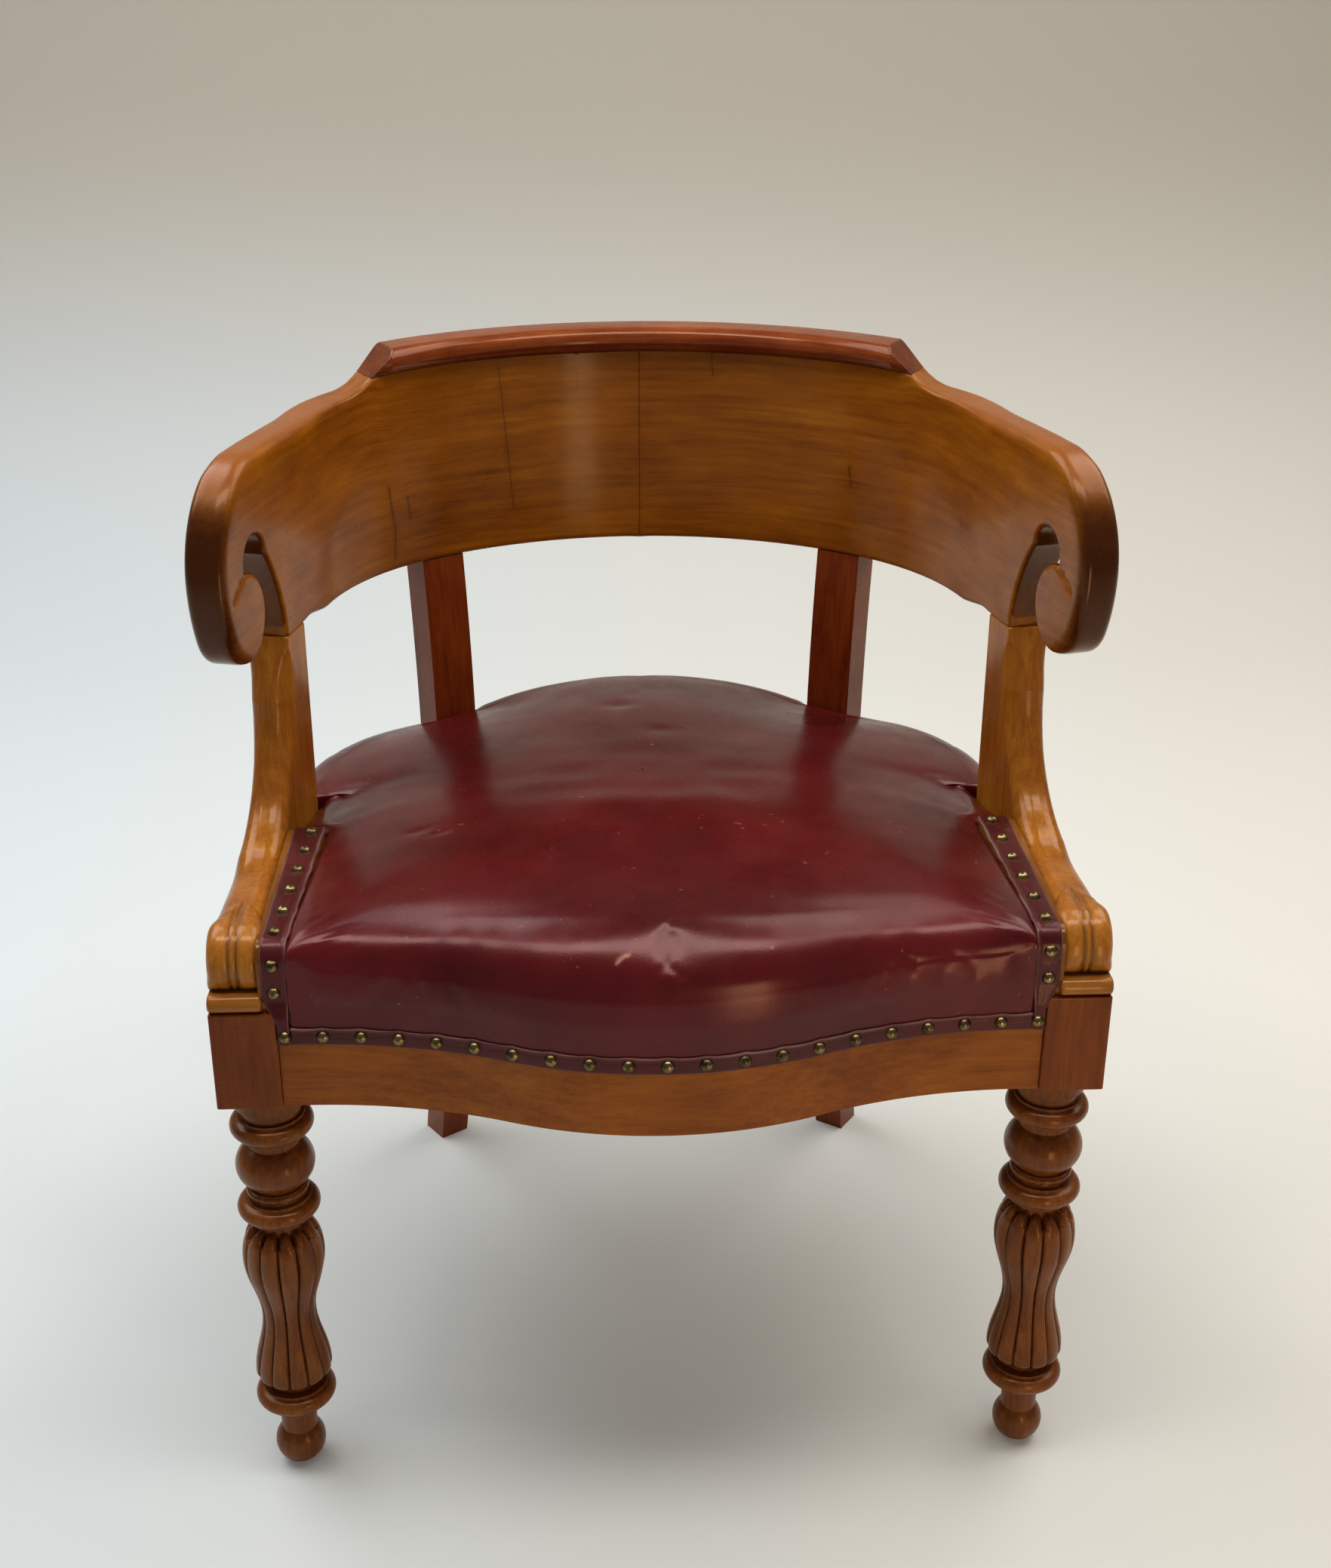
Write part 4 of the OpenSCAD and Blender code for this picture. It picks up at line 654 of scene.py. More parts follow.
def makeCrest():
    # a section carried along the hoop; its ends are cut by the same ramp as the shoulders
    high, back, corner = band["crestH"], band["thick"], 3.5
    r = high / 2
    section = np.vstack([[[back, 0.6], [back, high - corner]],
                         arc(back - corner, high - corner, corner, 0, 90, 6),
                         [[(back - 4) * 0.66 + 1, high], [(back - 4) * 0.33 + 1, high]],
                         arc(-band["crestProud"] + r, r, r, 90, 270, 19), [[10, 0], [20, 0]]])
    section[:, 1] = np.clip(section[:, 1], -0.2, high)
    # each line of the section ends where the ramp has cut down to the band's top
    run = np.arange(0, 340, 0.25)
    cut = cutHeight(wallAt(run[:, None], np.maximum(section[:, 0], 0.4)[None]))
    ends = run[np.argmax(cut <= band["top"] + 0.1, axis=0)]
    u = np.concatenate([np.linspace(0, 0.8, 60), np.linspace(0.8, 1, 70)[1:]])
    u = np.concatenate([-u[:0:-1], u])
    rows, cols = len(u), len(section)
    s = u[:, None] * ends[None]
    m = np.repeat(section[:, 0][None], rows, 0)
    # the round nose draws back into the wall where the ramp cuts the crest away
    left = share((cutHeight(wallAt(np.abs(s), 0 * m)) - band["top"] - 1) / 12)
    m = np.where(m < 0.4, 0.4 + (m - 0.4) * left, m)
    xy = wallAt(np.abs(s), m)
    xy[..., 0] *= np.sign(s)
    whole = band["top"] + np.broadcast_to(section[:, 1], s.shape)
    z = np.maximum(np.minimum(whole, cutHeight(xy)), band["top"] - 0.15)
    points = np.concatenate([xy, z[..., None]], -1).reshape(-1, 3)
    piece = addMesh("crest_wood", points, tubeFaces(rows, cols))
    # painted shade under the round nose where it meets the band; the end grain of the ramp's cut is darker
    # for real
    under = share((band["top"] + 5 - z) / 5) * (m < 3)
    split = piece.modifiers.new("edges", "EDGE_SPLIT")
    split.split_angle = math.radians(32)
    return finishPiece(piece, crestWood, "crest_rail", "polished_wood",
                       grain=(s.ravel(), m.ravel(), z.ravel()), wear=0.10 * share((z - 770) / 7),
                       stain=share(0.35 * under + 0.35 * (z < whole - 0.3)))


for made in (makeBand(-1), makeBand(1), makeCrest()):
    print("band", made.name, len(made.data.vertices))


# Arm supports with their carved knuckles, and the ledges beside them for the seat's leather
support = dict(width=37.0, knuckleR=24.0, sweepR=96.0, ledgeW=18.0, ledgeH=50.0, ledgeFront=-23.0,
               ledgeBack=158.0, noseR=14.0, ledgeRise=2.0, lean=2.5, leafLen=98.0, leafFrom=0.55,
               ropeR=12.5, tipR=8.5, gap=0.2)
knuckleY, knuckleZ = 3.0, chair["blockTop"] + 16
sweepY, sweepZ = seamY - 12 - support["sweepR"], seamZ - 48
ledgeX = chair["outerX"] - support["width"] - support["ledgeW"]
rearInX = seamInX - band["supportD"] * math.tan(splayA)


def ledgeIn(y):
    # the ledge's inner side, which leans in toward the back
    return ledgeX - (np.asarray(y, float) - support["ledgeFront"]) * math.tan(math.radians(support["lean"]))


def supportOutline():
    g = support["gap"]
    low, blockBack = chair["railTop"] + g, chair["blockHalf"] + g
    under = np.array([[blockBack, chair["blockTop"] + g], [blockBack, low], [seamY + band["supportD"], low],
                      [seamY + band["supportD"], seamZ], [seamY, seamZ]])
    sweep = arc(sweepY, sweepZ, support["sweepR"], 0, -95, 60)
    tip = arc(knuckleY, knuckleZ, support["knuckleR"], 84, 221.5, 60)
    foot = np.array([[knuckleY - 17.6, chair["blockTop"] + g]])
    # the top of the knuckle runs up into the sweep in one cubic curve
    t = np.linspace(0, 1, 12)[1:-1, None]
    a, b = sweep[-1] + [-14, 0.5], tip[0] + [14, -1.2]
    bridge = (1 - t) ** 3 * sweep[-1] + 3 * (1 - t) ** 2 * t * a + 3 * (1 - t) * t ** 2 * b + t ** 3 * tip[0]
    return np.vstack([under, sweep, bridge, tip, foot])


def supportSpan(y):
    # inner and outer side in plan: straight over the leg, then following the splayed arm
    x0 = chair["outerX"] - support["width"]
    wide = band["thick"] / math.cos(splayA)
    ys = [-60, 40, 60, 130, seamY - 14, seamY, seamY + band["supportD"]]
    inner = np.interp(y, ys, [x0, x0, x0 + 0.6, x0 + 3, x0 + 2, seamInX, rearInX])
    outer = np.interp(y, ys, [chair["outerX"]] * 4 + [seamInX + wide + 1, seamInX + wide, rearInX + wide])
    return inner, outer


def supportRadius(p):
    # round and full up the front, tighter on the knuckle's tip, nearly sharp elsewhere
    y, z = p[:, 0], p[:, 1]
    front = (z > max(knuckleZ - 10, chair["railTop"] + 5)) & (y < seamY - 3) & (z < seamZ - 1)
    r = np.where(front, support["ropeR"], 1.5)
    r = np.where(front & (z > seamZ - 30), support["ropeR"] - (z - seamZ + 30) * 0.32, r)
    return evened(np.where(front & (y < knuckleY + 8), support["tipR"], r), 8)


def makeSupport(side):
    def half(p):
        inner, outer = supportSpan(p[:, 0])
        return (outer - inner) / 2

    def place(p, t):
        inner, outer = supportSpan(p[:, 0])
        return np.stack([((inner + outer) / 2 + t) * side, p[:, 0], p[:, 1]], 1)

    piece, flat, depth, t, line = board("arm_support_wood_" + sideName[side], supportOutline(), half,
                                        supportRadius, place, step=1.5, rimCols=14,
                                        fractions=(0.04, 0.1, 0.18, 0.28, 0.4, 0.54, 0.7, 0.85, 1.0, 1.4))
    # v is the path length up the front from the foot of the knuckle, w the place across it
    front = line[(line[:, 1] > chair["blockTop"] + 1) & (line[:, 0] < seamY - 2)][::-1]
    d, at = segmentDistance(flat, front, closed=False)
    v = np.interp(at, np.arange(len(front)), runAlong(front))
    near, w = share(1 - d / 13), t / 18.5
    # the leaf: widest at the knuckle, drawn to a point, with two grooves and a vein
    u = np.clip(v / support["leafLen"], 0, 1.2)
    drawn = share((u - support["leafFrom"]) / (1 - support["leafFrom"])) ** 1.6
    leafHalf = np.where(u > 1, -0.3, 1.02 * (1 - drawn))
    inLeaf = 1 / (1 + np.exp(-(leafHalf - np.abs(w)) * 26))
    grooves = bell(np.abs(w) - 0.145, 0.075) * share(1.25 - u * 1.15) * (u < 0.98)
    vein = bell(w, 0.06) * share((u - 0.45) * 4) * (u < 1)
    lobe = (1 - (share(np.abs(w) - 0.2) / 0.8 - 0.4) ** 2 * 1.6) * share(1 - u)
    lift = near * (1.9 * inLeaf * share((u - 0.3) * 3) - 1.7 * grooves + 0.7 * lobe * inLeaf - 1.3 * vein)
    lift -= 0.9 * near * (1 - inLeaf) * bell(u - 0.9, 0.25)
    lift *= share(v / 4)
    movePoints(piece, placePoints(piece) + pointNormals(piece) * (lift * mm)[:, None])
    rub = near * bell(v - 45, 22)
    edge = bell(depth, 1.2) * (near < 0.3)
    finishPiece(piece, supportWood, "arm_support_" + sideName[side], "golden_wood",
                grain=(flat[:, 1], t, flat[:, 0]), wear=share(0.55 * rub + 0.25 * edge),
                stain=share(near * (0.75 * grooves + 0.5 * vein) + 0.5 * share(1 - v / 5) * near))
    return piece


def makeLedge(side):
    # a second shell of the support's own piece of wood
    f, back, noseR = support["ledgeFront"], support["ledgeBack"] - 1, support["noseR"]
    low, top = chair["railTop"] + 0.2, chair["railTop"] + support["ledgeH"]

    def place(p, t):
        inner, outer = ledgeIn(p[:, 0]), ledgeX + support["ledgeW"] + 2.0
        return np.stack([(inner + (outer - inner) * (t + 1) / 2) * side, p[:, 0], p[:, 1]], 1)

    outline = np.vstack([[[f, low], [back, low], [back, top + support["ledgeRise"]]],
                         arc(f + noseR, top - noseR, noseR, 90, 180, 16)])
    piece, flat, _, t, _ = board("arm_ledge_" + sideName[side], outline, lambda p: np.ones(len(p)),
                                 lambda p: np.full(len(p), 0.08), place, step=3, grid=14, rimCols=2,
                                 fractions=(0.5, 1.0))
    # painted shade: the whole ledge is darkened so the narrow sliver beside the leather reads as a shaded gap
    finishPiece(piece, supportWood, "arm_support_" + sideName[side], "golden_wood",
                grain=(flat[:, 0], t * 9, flat[:, 1]), wear=0.0, stain=0.5)


for side in (-1, 1):
    made = makeSupport(side)
    makeLedge(side)
    print("support", made.name, len(made.data.vertices))


# Turned front legs with their blocks; measures down the leg are heights of the parts' middles
leg = dict(collars=(66.0, 238.0, 308.0), collarD=60.0, collarH=13.0, ballD=57.0, ballR=19.0, vaseD=60.0,
           waistD=40.0, footD=38.0, neckR=13.5, lobes=12, groove=3.6, vaseLow=82.0, vaseHigh=221.0, top=336.0,
           round=144)


def easeCurve(t):
    return (1 - np.cos(np.pi * share(t))) / 2


def turningProfile(z):
    # radius of the plain turning at each height: the largest of the beads, coves and necks there
    low, middle, high = leg["collars"]
    collarR, half, footR = leg["collarD"] / 2, leg["collarH"] / 2, leg["footD"] / 2
    ballZ = (middle + high) / 2 + 1

    def bead(zc, rc, rb):
        return np.where(np.abs(z - zc) <= rb, rc + np.sqrt(np.maximum(rb ** 2 - (z - zc) ** 2, 0)), 0)

    def plain(z0, z1, radius):
        return np.where((z >= z0) & (z <= z1), radius, 0)

    def cove(z0, h, big, small):
        c = h * 0.75
        dip = small + c - np.sqrt(np.maximum(c ** 2 - (z - z0 - h / 2) ** 2, 0))
        return np.where((z >= z0) & (z <= z0 + h), np.minimum(big, dip), 0)

    parts = [bead(footR - 1.5, 0, footR), plain(2 * footR - 6.5, low, leg["neckR"]),
             plain(low, leg["vaseLow"] + 1, leg["neckR"] + 4.3),
             plain(leg["vaseHigh"] - 2, middle, leg["neckR"] + 3.2),
             bead(ballZ, leg["ballD"] / 2 - leg["ballR"], leg["ballR"]), plain(middle, high, 18.5),
             bead(ballZ - 21.5, leg["ballD"] / 2 - 8.5, 2.6), plain(high, leg["top"], collarR * 0.72),
             plain(leg["top"] - 10, leg["top"], collarR * 0.86)]
    for zc in leg["collars"]:
        parts += [bead(zc, collarR - half, half), plain(zc - half - 2.6, zc + half + 2.6, collarR * 0.8)]
    for zc in (middle, high):
        parts.append(cove(zc + half + 2.4, 9, collarR * 0.8, collarR * 0.64))
    return np.maximum.reduce(parts)


def vaseRadius(t):
    # t from the foot of the vase to its top: out to the flare, in to the waist, out to the shoulder
    big, waist = leg["vaseD"] / 2, leg["waistD"] / 2
    r = np.where(t < 0.05, big * (0.80 + 0.15 * np.sin(np.pi / 2 * share(t / 0.05))),
                 big * 0.95 + (waist - big * 0.95) * easeCurve((t - 0.05) / 0.37))
    r = np.where(t > 0.42, waist + (big - waist) * easeCurve((t - 0.42) / 0.38), r)
    return np.where(t > 0.80, big * (0.62 + 0.38 * np.sqrt(np.maximum(1 - ((t - 0.80) / 0.20) ** 2, 0))), r)


def makeLeg(side):
    n, low, high, neck = leg["round"], leg["vaseLow"], leg["vaseHigh"], leg["neckR"] + 3.2
    z = np.unique(np.round(np.concatenate([np.arange(0, leg["top"], 1.0), np.arange(high - 16, high + 3, 0.5)]
                                          + [np.arange(c - 10, c + 20, 0.6) for c in leg["collars"]]), 2))
    zz, aa = np.meshgrid(z, np.linspace(0, 2 * np.pi, n, endpoint=False), indexing="ij")
    plain = turningProfile(z)
    # lobes: round across, drawn to fingertips under the upper neck and to a flared petal at the foot
    phase = (aa * leg["lobes"] / (2 * np.pi)) % 1 * 2 - 1
    t = (zz - low) / (high - low)
    body = vaseRadius(share(t))
    tipLen, down = 9.0, high - zz
    width = np.where(down < tipLen, np.sqrt(np.clip(1 - ((tipLen - down) / tipLen) ** 2, 0.0001, 1)), 1.0)
    across = share(np.abs(phase) / width)
    core = body - leg["groove"] * body / 30 * np.where(t < 0.12, 0.75, 1.0)
    finger = np.where(down < tipLen, np.minimum(core, neck), core)
    lobed = finger + (body - finger) * (1 - across ** 3.2) ** 0.5
    onVase = (zz >= low) & (zz <= high)
    r = np.where(onVase, np.maximum(np.where(across < 1, lobed, finger), neck), plain[:, None])
    r = np.maximum(r, 0.05)
    x, y = r * np.cos(aa), r * np.sin(aa)
    points = np.stack([(x + chair["halfLeg"]) * side, y, zz], -1).reshape(-1, 3)
    piece = addMesh("front_leg_wood_" + sideName[side], points, tubeFaces(len(z), n))
    # dark between the lobes, in the creases of the turning and at the foot of the vase
    hollow = share((across - 0.72) / 0.28) * onVase * share((high - 4 - zz) / 20)
    creases = np.clip(np.abs(np.gradient(plain, z)) / 3 - 0.6, 0, 0.35)[:, None] * ~onVase
    stain = np.clip(0.55 * hollow + creases + 0.3 * share((low + 22 - zz) / 30) * onVase, 0, 0.8)
    split = piece.modifiers.new("edges", "EDGE_SPLIT")
    split.split_angle = math.radians(50)
    return finishPiece(piece, legWood, "front_leg_" + sideName[side], "polished_wood",
                       grain=(zz.ravel(), x.ravel(), y.ravel()),
                       wear=0.30 * share(r / 30) ** 6 * (1 - stain), stain=stain)


def makeBox(name, low, high, r, side, node):
    # a block between two corners with its edges rounded by r
    bm = bmesh.new()
    bmesh.ops.create_cube(bm, size=1.0)
    for v in bm.verts:
        v.co = Vector([(low[k] + high[k]) / 2 + v.co[k] * (high[k] - low[k]) for k in range(3)])
    bmesh.ops.bevel(bm, geom=bm.edges[:] + bm.verts[:], offset=r, segments=3, profile=0.5, affect="EDGES")
    points = np.array([tuple(v.co) for v in bm.verts]) * [side, 1, 1]
    bm.verts.index_update()
    faces = [[v.index for v in f.verts] for f in bm.faces]
    bm.free()
    finishPiece(addMesh(name, points, faces, smooth=False), blockWood, node, "polished_wood",
                grain=(points[:, 2], points[:, 0], points[:, 1]), wear=0.0, stain=0.0)


def makeBlock(side):
    # the block's outer part reaches the corner, its inner part stands behind the front rail
    tag, node = sideName[side], "front_leg_" + sideName[side]
    bottom, low, deep = chair["railBottom"], chair["railTop"], chair["blockHalf"]
    makeBox("leg_block_outer_" + tag, (266.2, -deep, bottom), (chair["outerX"], deep, low), 1.3, side, node)
    makeBox("leg_block_inner_" + tag, (248, 7.6, bottom + 0.2), (266.6, deep, low - 0.2), 0.8, side, node)
    # cushion moulding: a slab with a half-round front and back
    y, h = deep + 1, chair["blockTop"] - low
    outline = np.vstack([arc(y - h / 2, low + h / 2, h / 2, -90, 90, 16),
                         arc(-y + h / 2, low + h / 2, h / 2, 90, 270, 16)])

    def place(p, t):
        return np.stack([(293.5 + t) * side, p[:, 0], p[:, 1]], 1)

    piece, flat, depth, t, _ = board("moulding_" + tag, outline, lambda p: np.full(len(p), 18.5),
                                     lambda p: np.full(len(p), 2.2), place, step=1.2, grid=4, rimCols=4)
    finishPiece(piece, supportWood, node, "golden_wood", grain=(t, flat[:, 0], flat[:, 1]),
                wear=0.35 * share(1 - depth / 2), stain=0.22)


for side in (-1, 1):
    made = makeLeg(side)
    makeBlock(side)
    print("leg", made.name, len(made.data.vertices))


# The sprung seat. Its leather follows the rails, the ledges, the arm supports and the notches round the
# rear legs; rollShare is how far it draws in over the roll, the drops how far the roll falls to its side
seat = dict(crown=79.0, frontRoll=57.0, sideRoll=42.0, rearRoll=61.0, skirt=390.0, leatherT=2.0, softGap=0.3,
            facetRoom=0.6, middleY=200.0, oval=262.0, rollShare=0.10, rollDrop=24.0, ledgeDrop=8.0,
            bowShareMore=0.08, bowRise=13.0, bowDrop=17.0, bowReach=235.0, pressure=4.0, cap=5.0, steps=20,
            frontBow=48.0, bowShare=0.43, railFront=-23.0, sideX=308.0, sideTaper=5.0, cornerR=128.0,
            cornerY=285.0, backRailR=331.0, legW=40.0, legBowR=2267.0, legBowHalf=232.0, samples=420)
bowSpan = 248.0  # half the serpentine part of the front rail
bowA = 2 * math.atan(seat["frontBow"] / bowSpan)
bowR = bowSpan * seat["bowShare"] / math.sin(bowA)
hollowR = bowSpan * (1 - seat["bowShare"]) / math.sin(bowA)
bowCy = seat["railFront"] - seat["frontBow"] + bowR
hollowCy = seat["railFront"] - hollowR
taper = math.radians(seat["sideTaper"])
cornerX = (seat["sideX"] - (seat["cornerY"] - chair["blockHalf"]) * math.tan(taper)
           - seat["cornerR"] / math.cos(taper))
rearY = seamY + band["supportD"] + seat["softGap"]
# where a bowed rear leg stands at the seat, and the circle of the back rail between the two legs
legPush = 1 - (seat["legBowR"] - math.sqrt(seat["legBowR"] ** 2 - seat["legBowHalf"] ** 2))
legOut = np.array([math.sin(firstA), math.cos(firstA)])
mitre = np.array([0, backCy]) + (band["backR"] + legPush) * legOut
arcX, arcY = mitre + 11 * legOut - [20 * math.cos(firstA), 0]
backRailCy = arcY - math.sqrt(seat["backRailR"] ** 2 - arcX ** 2) + 12
notch = seat["legW"] / 2 + 0.5


def faceY(x, m):
    # serpentine front: a bow between two hollows, moved out by m
    x = np.abs(np.asarray(x, float))
    bow = bowCy - np.sqrt(np.maximum((bowR + m) ** 2 - x * x, 0))
    hollow = hollowCy + np.sqrt(np.maximum((hollowR - m) ** 2 - (bowSpan - x) ** 2, 0))
    return np.where(x < bowSpan * seat["bowShare"] + m * math.sin(bowA), bow,
                    np.where(x < bowSpan, hollow, seat["railFront"] - m))


def sideFace(y):
    # the side rail's outer face, which tapers in toward the back
    return seat["sideX"] - (np.asarray(y, float) - chair["blockHalf"]) * math.tan(taper)


def cornerPoint(a, m):
    # the round rear corner of the frame at angle a, moved out by m
    r = seat["cornerR"] + m
    return np.stack([cornerX + r * np.cos(a), seat["cornerY"] + r * np.sin(a)], -1)


def backY(x, m):
    # the back rail's outer face, a circle about backRailCy, moved out by m
    return backRailCy + np.sqrt((seat["backRailR"] + m) ** 2 - x * x)


def legPoint(u, v):
    # u across a rear leg, v out through it
    return mitre + u * legOut[::-1] * [1, -1] + v * legOut


def seatEdge(t):
    # the seat's plan, t inside the leather: x, y, lower edge, roll, distance without the notch, least y, drop
    g, top, skirt = seat["softGap"], chair["railTop"] + seat["softGap"], seat["skirt"]
    m = g + seat["facetRoom"] + seat["leatherT"] - t
    none, far, drop = -1.0, -1000, seat["rollDrop"]
    front, roll, atLeg = seat["frontRoll"], seat["sideRoll"], seat["sideRoll"] + 3
    rows = [[x, float(faceY(x, m)), skirt, front, none, far, drop]
            for x in np.linspace(0, ledgeX - g - 1.5, 44)]
    railFront, ledgeBack = seat["railFront"], support["ledgeBack"]
    for y in (railFront - m, railFront + 5, railFront + 12, 20, 50, 79, 110, 135, ledgeBack + 1 + t):
        rows.append([float(ledgeIn(y)) - g - t, y, top, front - 3 * max(0, y / ledgeBack), none, far,
                     seat["ledgeDrop"]])
    rows += [[276.5 - t, 168 + t, top, front - 6, none, far, drop * 0.6],
             [seamInX - g - t, seamY - 1, top, front * 0.15 + roll * 0.85, none, far, drop],
             [rearInX - g - t, rearY + t, top, roll, none, rearY + t, drop],
             [float(sideFace(rearY)) + m, rearY + t, top, roll, none, rearY + t, drop],
             [float(sideFace(rearY + 9)) + m, rearY + 9, skirt, roll, none, rearY + t + 2, drop]]
    end = legPoint(notch + 6, 12) - [cornerX, seat["cornerY"]]
    for a in np.linspace(taper, math.atan2(end[1], end[0]), 26):
        rows.append([*cornerPoint(a, m), skirt, roll, none, far, drop])
    for u, v, deep in ((notch + 1 + t / 3, 12 + m, False), (notch + t, -0.5 - t, True),
                       (-notch - t, -0.5 - t, True), (-notch - 1 - t / 3, 12 + m, False)):
        whole = np.linalg.norm(legPoint(u, 12 + m) - [0, seat["middleY"]]) if deep else none
        rows.append([*legPoint(u, v), top, atLeg, whole, far, drop])
    backX = legPoint(-notch - 6, 12 + m)[0]
    for k in np.linspace(0, 1, 20):
        x = backX * (1 - k)
        lift = math.sin(math.radians(90 * k)) ** 0.6
        high = atLeg * (1 - lift) + seat["rearRoll"] * lift
        rows.append([x, float(backY(x, m)), skirt, high, none, far, drop])
    half = np.array(rows)
    ring = np.vstack([half, half[-2:0:-1] * [-1, 1, 1, 1, 1, 1, 1]])
    closed = np.vstack([ring, ring[:1]])
    s, count = runAlong(closed[:, :2]), seat["samples"]
    at = np.linspace(0, s[-1], count, endpoint=False)
    out = np.stack([np.interp(at, s, closed[:, c]) for c in range(7)], 1)
    # the two flags stay as they are at the nearer end of each step
    near = np.clip(np.searchsorted(s, at, side="right") - 1, 0, len(ring) - 1)
    nearer = np.where(at - s[near] < s[near + 1] - at, near, (near + 1) % len(ring))
    out[:, 4:6] = ring[nearer, 4:6]
    # a sample is put on each sharp corner
    turn = np.roll(ring[:, :2], -1, axis=0) - ring[:, :2]
    before = np.roll(turn, 1, axis=0)
    bend = np.abs(np.arctan2(before[:, 0] * turn[:, 1] - before[:, 1] * turn[:, 0], (before * turn).sum(1)))
    for k in np.where(bend > 0.5)[0]:
        out[int(round(s[k] / s[-1] * count)) % count] = ring[k]
    return out


def roundSmooth(values, width):
    # smooth a closed row of numbers with a bell curve of that width, by its waves
    wave = np.fft.fftfreq(len(values)) * 2 * np.pi
    keep = np.exp(-0.5 * (wave * width) ** 2)
    return np.real(np.fft.ifft(np.fft.fft(values, axis=0) * keep[:, None], axis=0))


def acrossLeg(x, y):
    # the place of a point in a rear leg's own directions, as legPoint takes them
    dx, dy = x - mitre[0], y - mitre[1]
    return dx * legOut[1] - dy * legOut[0], dx * legOut[0] + dy * legOut[1]


def keepClear(points, t):
    # hold the cover off the ledges, the arm supports and the rear legs
    x, y, z = points[..., 0], points[..., 1], points[..., 2]
    sign, ax = np.sign(x + 1e-9), np.abs(x)
    limit = np.where(y < support["ledgeBack"], ledgeIn(y), supportSpan(y)[0]) - 0.5 - t
    beside = (y > -30) & (y < rearY + 0.2 + t) & (ax > limit) & (z > chair["railTop"] + 1)
    back = beside & (y > 200) & ((rearY + t - y) < (ax - limit))
    y = np.where(back, rearY + 0.3 + t, y)
    ax = np.where(beside & ~back, limit, ax)
    u, v = acrossLeg(ax, y)
    half = notch + t
    inLeg = (np.abs(u) < half) & (v > -0.4 - t) & (v < 30)
    toFront = inLeg & ((v + 0.4 + t) < (half - np.abs(u)))
    v = np.where(toFront, -0.4 - t, v)
    u = np.where(inLeg & ~toFront, np.sign(u) * half, u)
    ax = np.where(inLeg, mitre[0] + u * legOut[1] + v * legOut[0], ax)
    y = np.where(inLeg, mitre[1] - u * legOut[0] + v * legOut[1], y)
    return np.stack([ax * sign, y, z], -1)


def seatSurface(t, rings):
    # ring k: -1 to 0 the straight side, 0 to 4 the roll, 4 to 8 the dome up to the crown
    edgeX, edgeY, foot, roll, unnotched, leastY, drop = seatEdge(t).T
    # over the bow of the rail the cover rises higher and rolls back more slowly, so its ridge is straight
    bow = share(1 - (edgeX / seat["bowReach"]) ** 2) ** 1.5 * (edgeY < -25)
    drawn = seat["rollShare"] + seat["bowShareMore"] * bow
    roll, drop = roundSmooth(np.stack([roll, drop], 1), 3.0).T + bow * [[seat["bowRise"]], [seat["bowDrop"]]]
    top = chair["railTop"] + roll
    a, far = np.arctan2(edgeY - seat["middleY"], edgeX), np.hypot(edgeX, edgeY - seat["middleY"])
    whole = np.where(unnotched > 0, unnotched, far)
    out = []
    for k in rings:
        turn = math.pi / 2 * min(max(k, 0) / 4, 1)
        inner = max(k - 4, 0) / 4
        scale = 1 - drawn * (1 - math.cos(turn)) if k <= 4 else (1 - drawn) * (1 - inner)
        flat = far + (whole - far) * min(max(k, 0) / 4, 1)
        r = (flat + (seat["oval"] - flat) * inner) * scale
        x, y = np.cos(a) * r, seat["middleY"] + np.sin(a) * r
        if k <= 4:
            y = np.maximum(y, leastY)
        if k < 0:
            z = foot + (top - drop - foot) * (k + 1)
        elif k <= 4:
            z = top - drop * (1 - math.sin(turn))
        else:
            z = top + (seat["crown"] - roll) * (1 - (1 - inner) ** 2)
        ring = np.stack([x, y, z - (t if k > 0 else 0)], 1)
        width = 0.0 if k <= 0 else np.interp(k, [0, 4, 5.5, 8], [0.3, 3.0, 9.0, 22.0])
        out.append(roundSmooth(ring, width) if width else ring)
    return keepClear(np.array(out), t)


def seatRings(skirtRows, rollRows, domeRows):
    return np.concatenate([np.linspace(-1, 0, skirtRows), np.linspace(0, 4, rollRows)[1:],
                           4 + 4 * np.linspace(0, 1, domeRows + 1)[1:-1] ** 0.9])


def capped(points):
    # the rows of the surface with its middle closed by one point
    rings, cols = points.shape[:2]
    middle = points[-1].mean(0)[None] + [0, 0, 0.4]
    last = (rings - 1) * cols
    faces = gridFaces(rings, cols, wrapCols=True).tolist()
    faces += [[last + k, last + (k + 1) % cols, rings * cols] for k in range(cols)]
    return np.vstack([points.reshape(-1, 3), middle]), faces


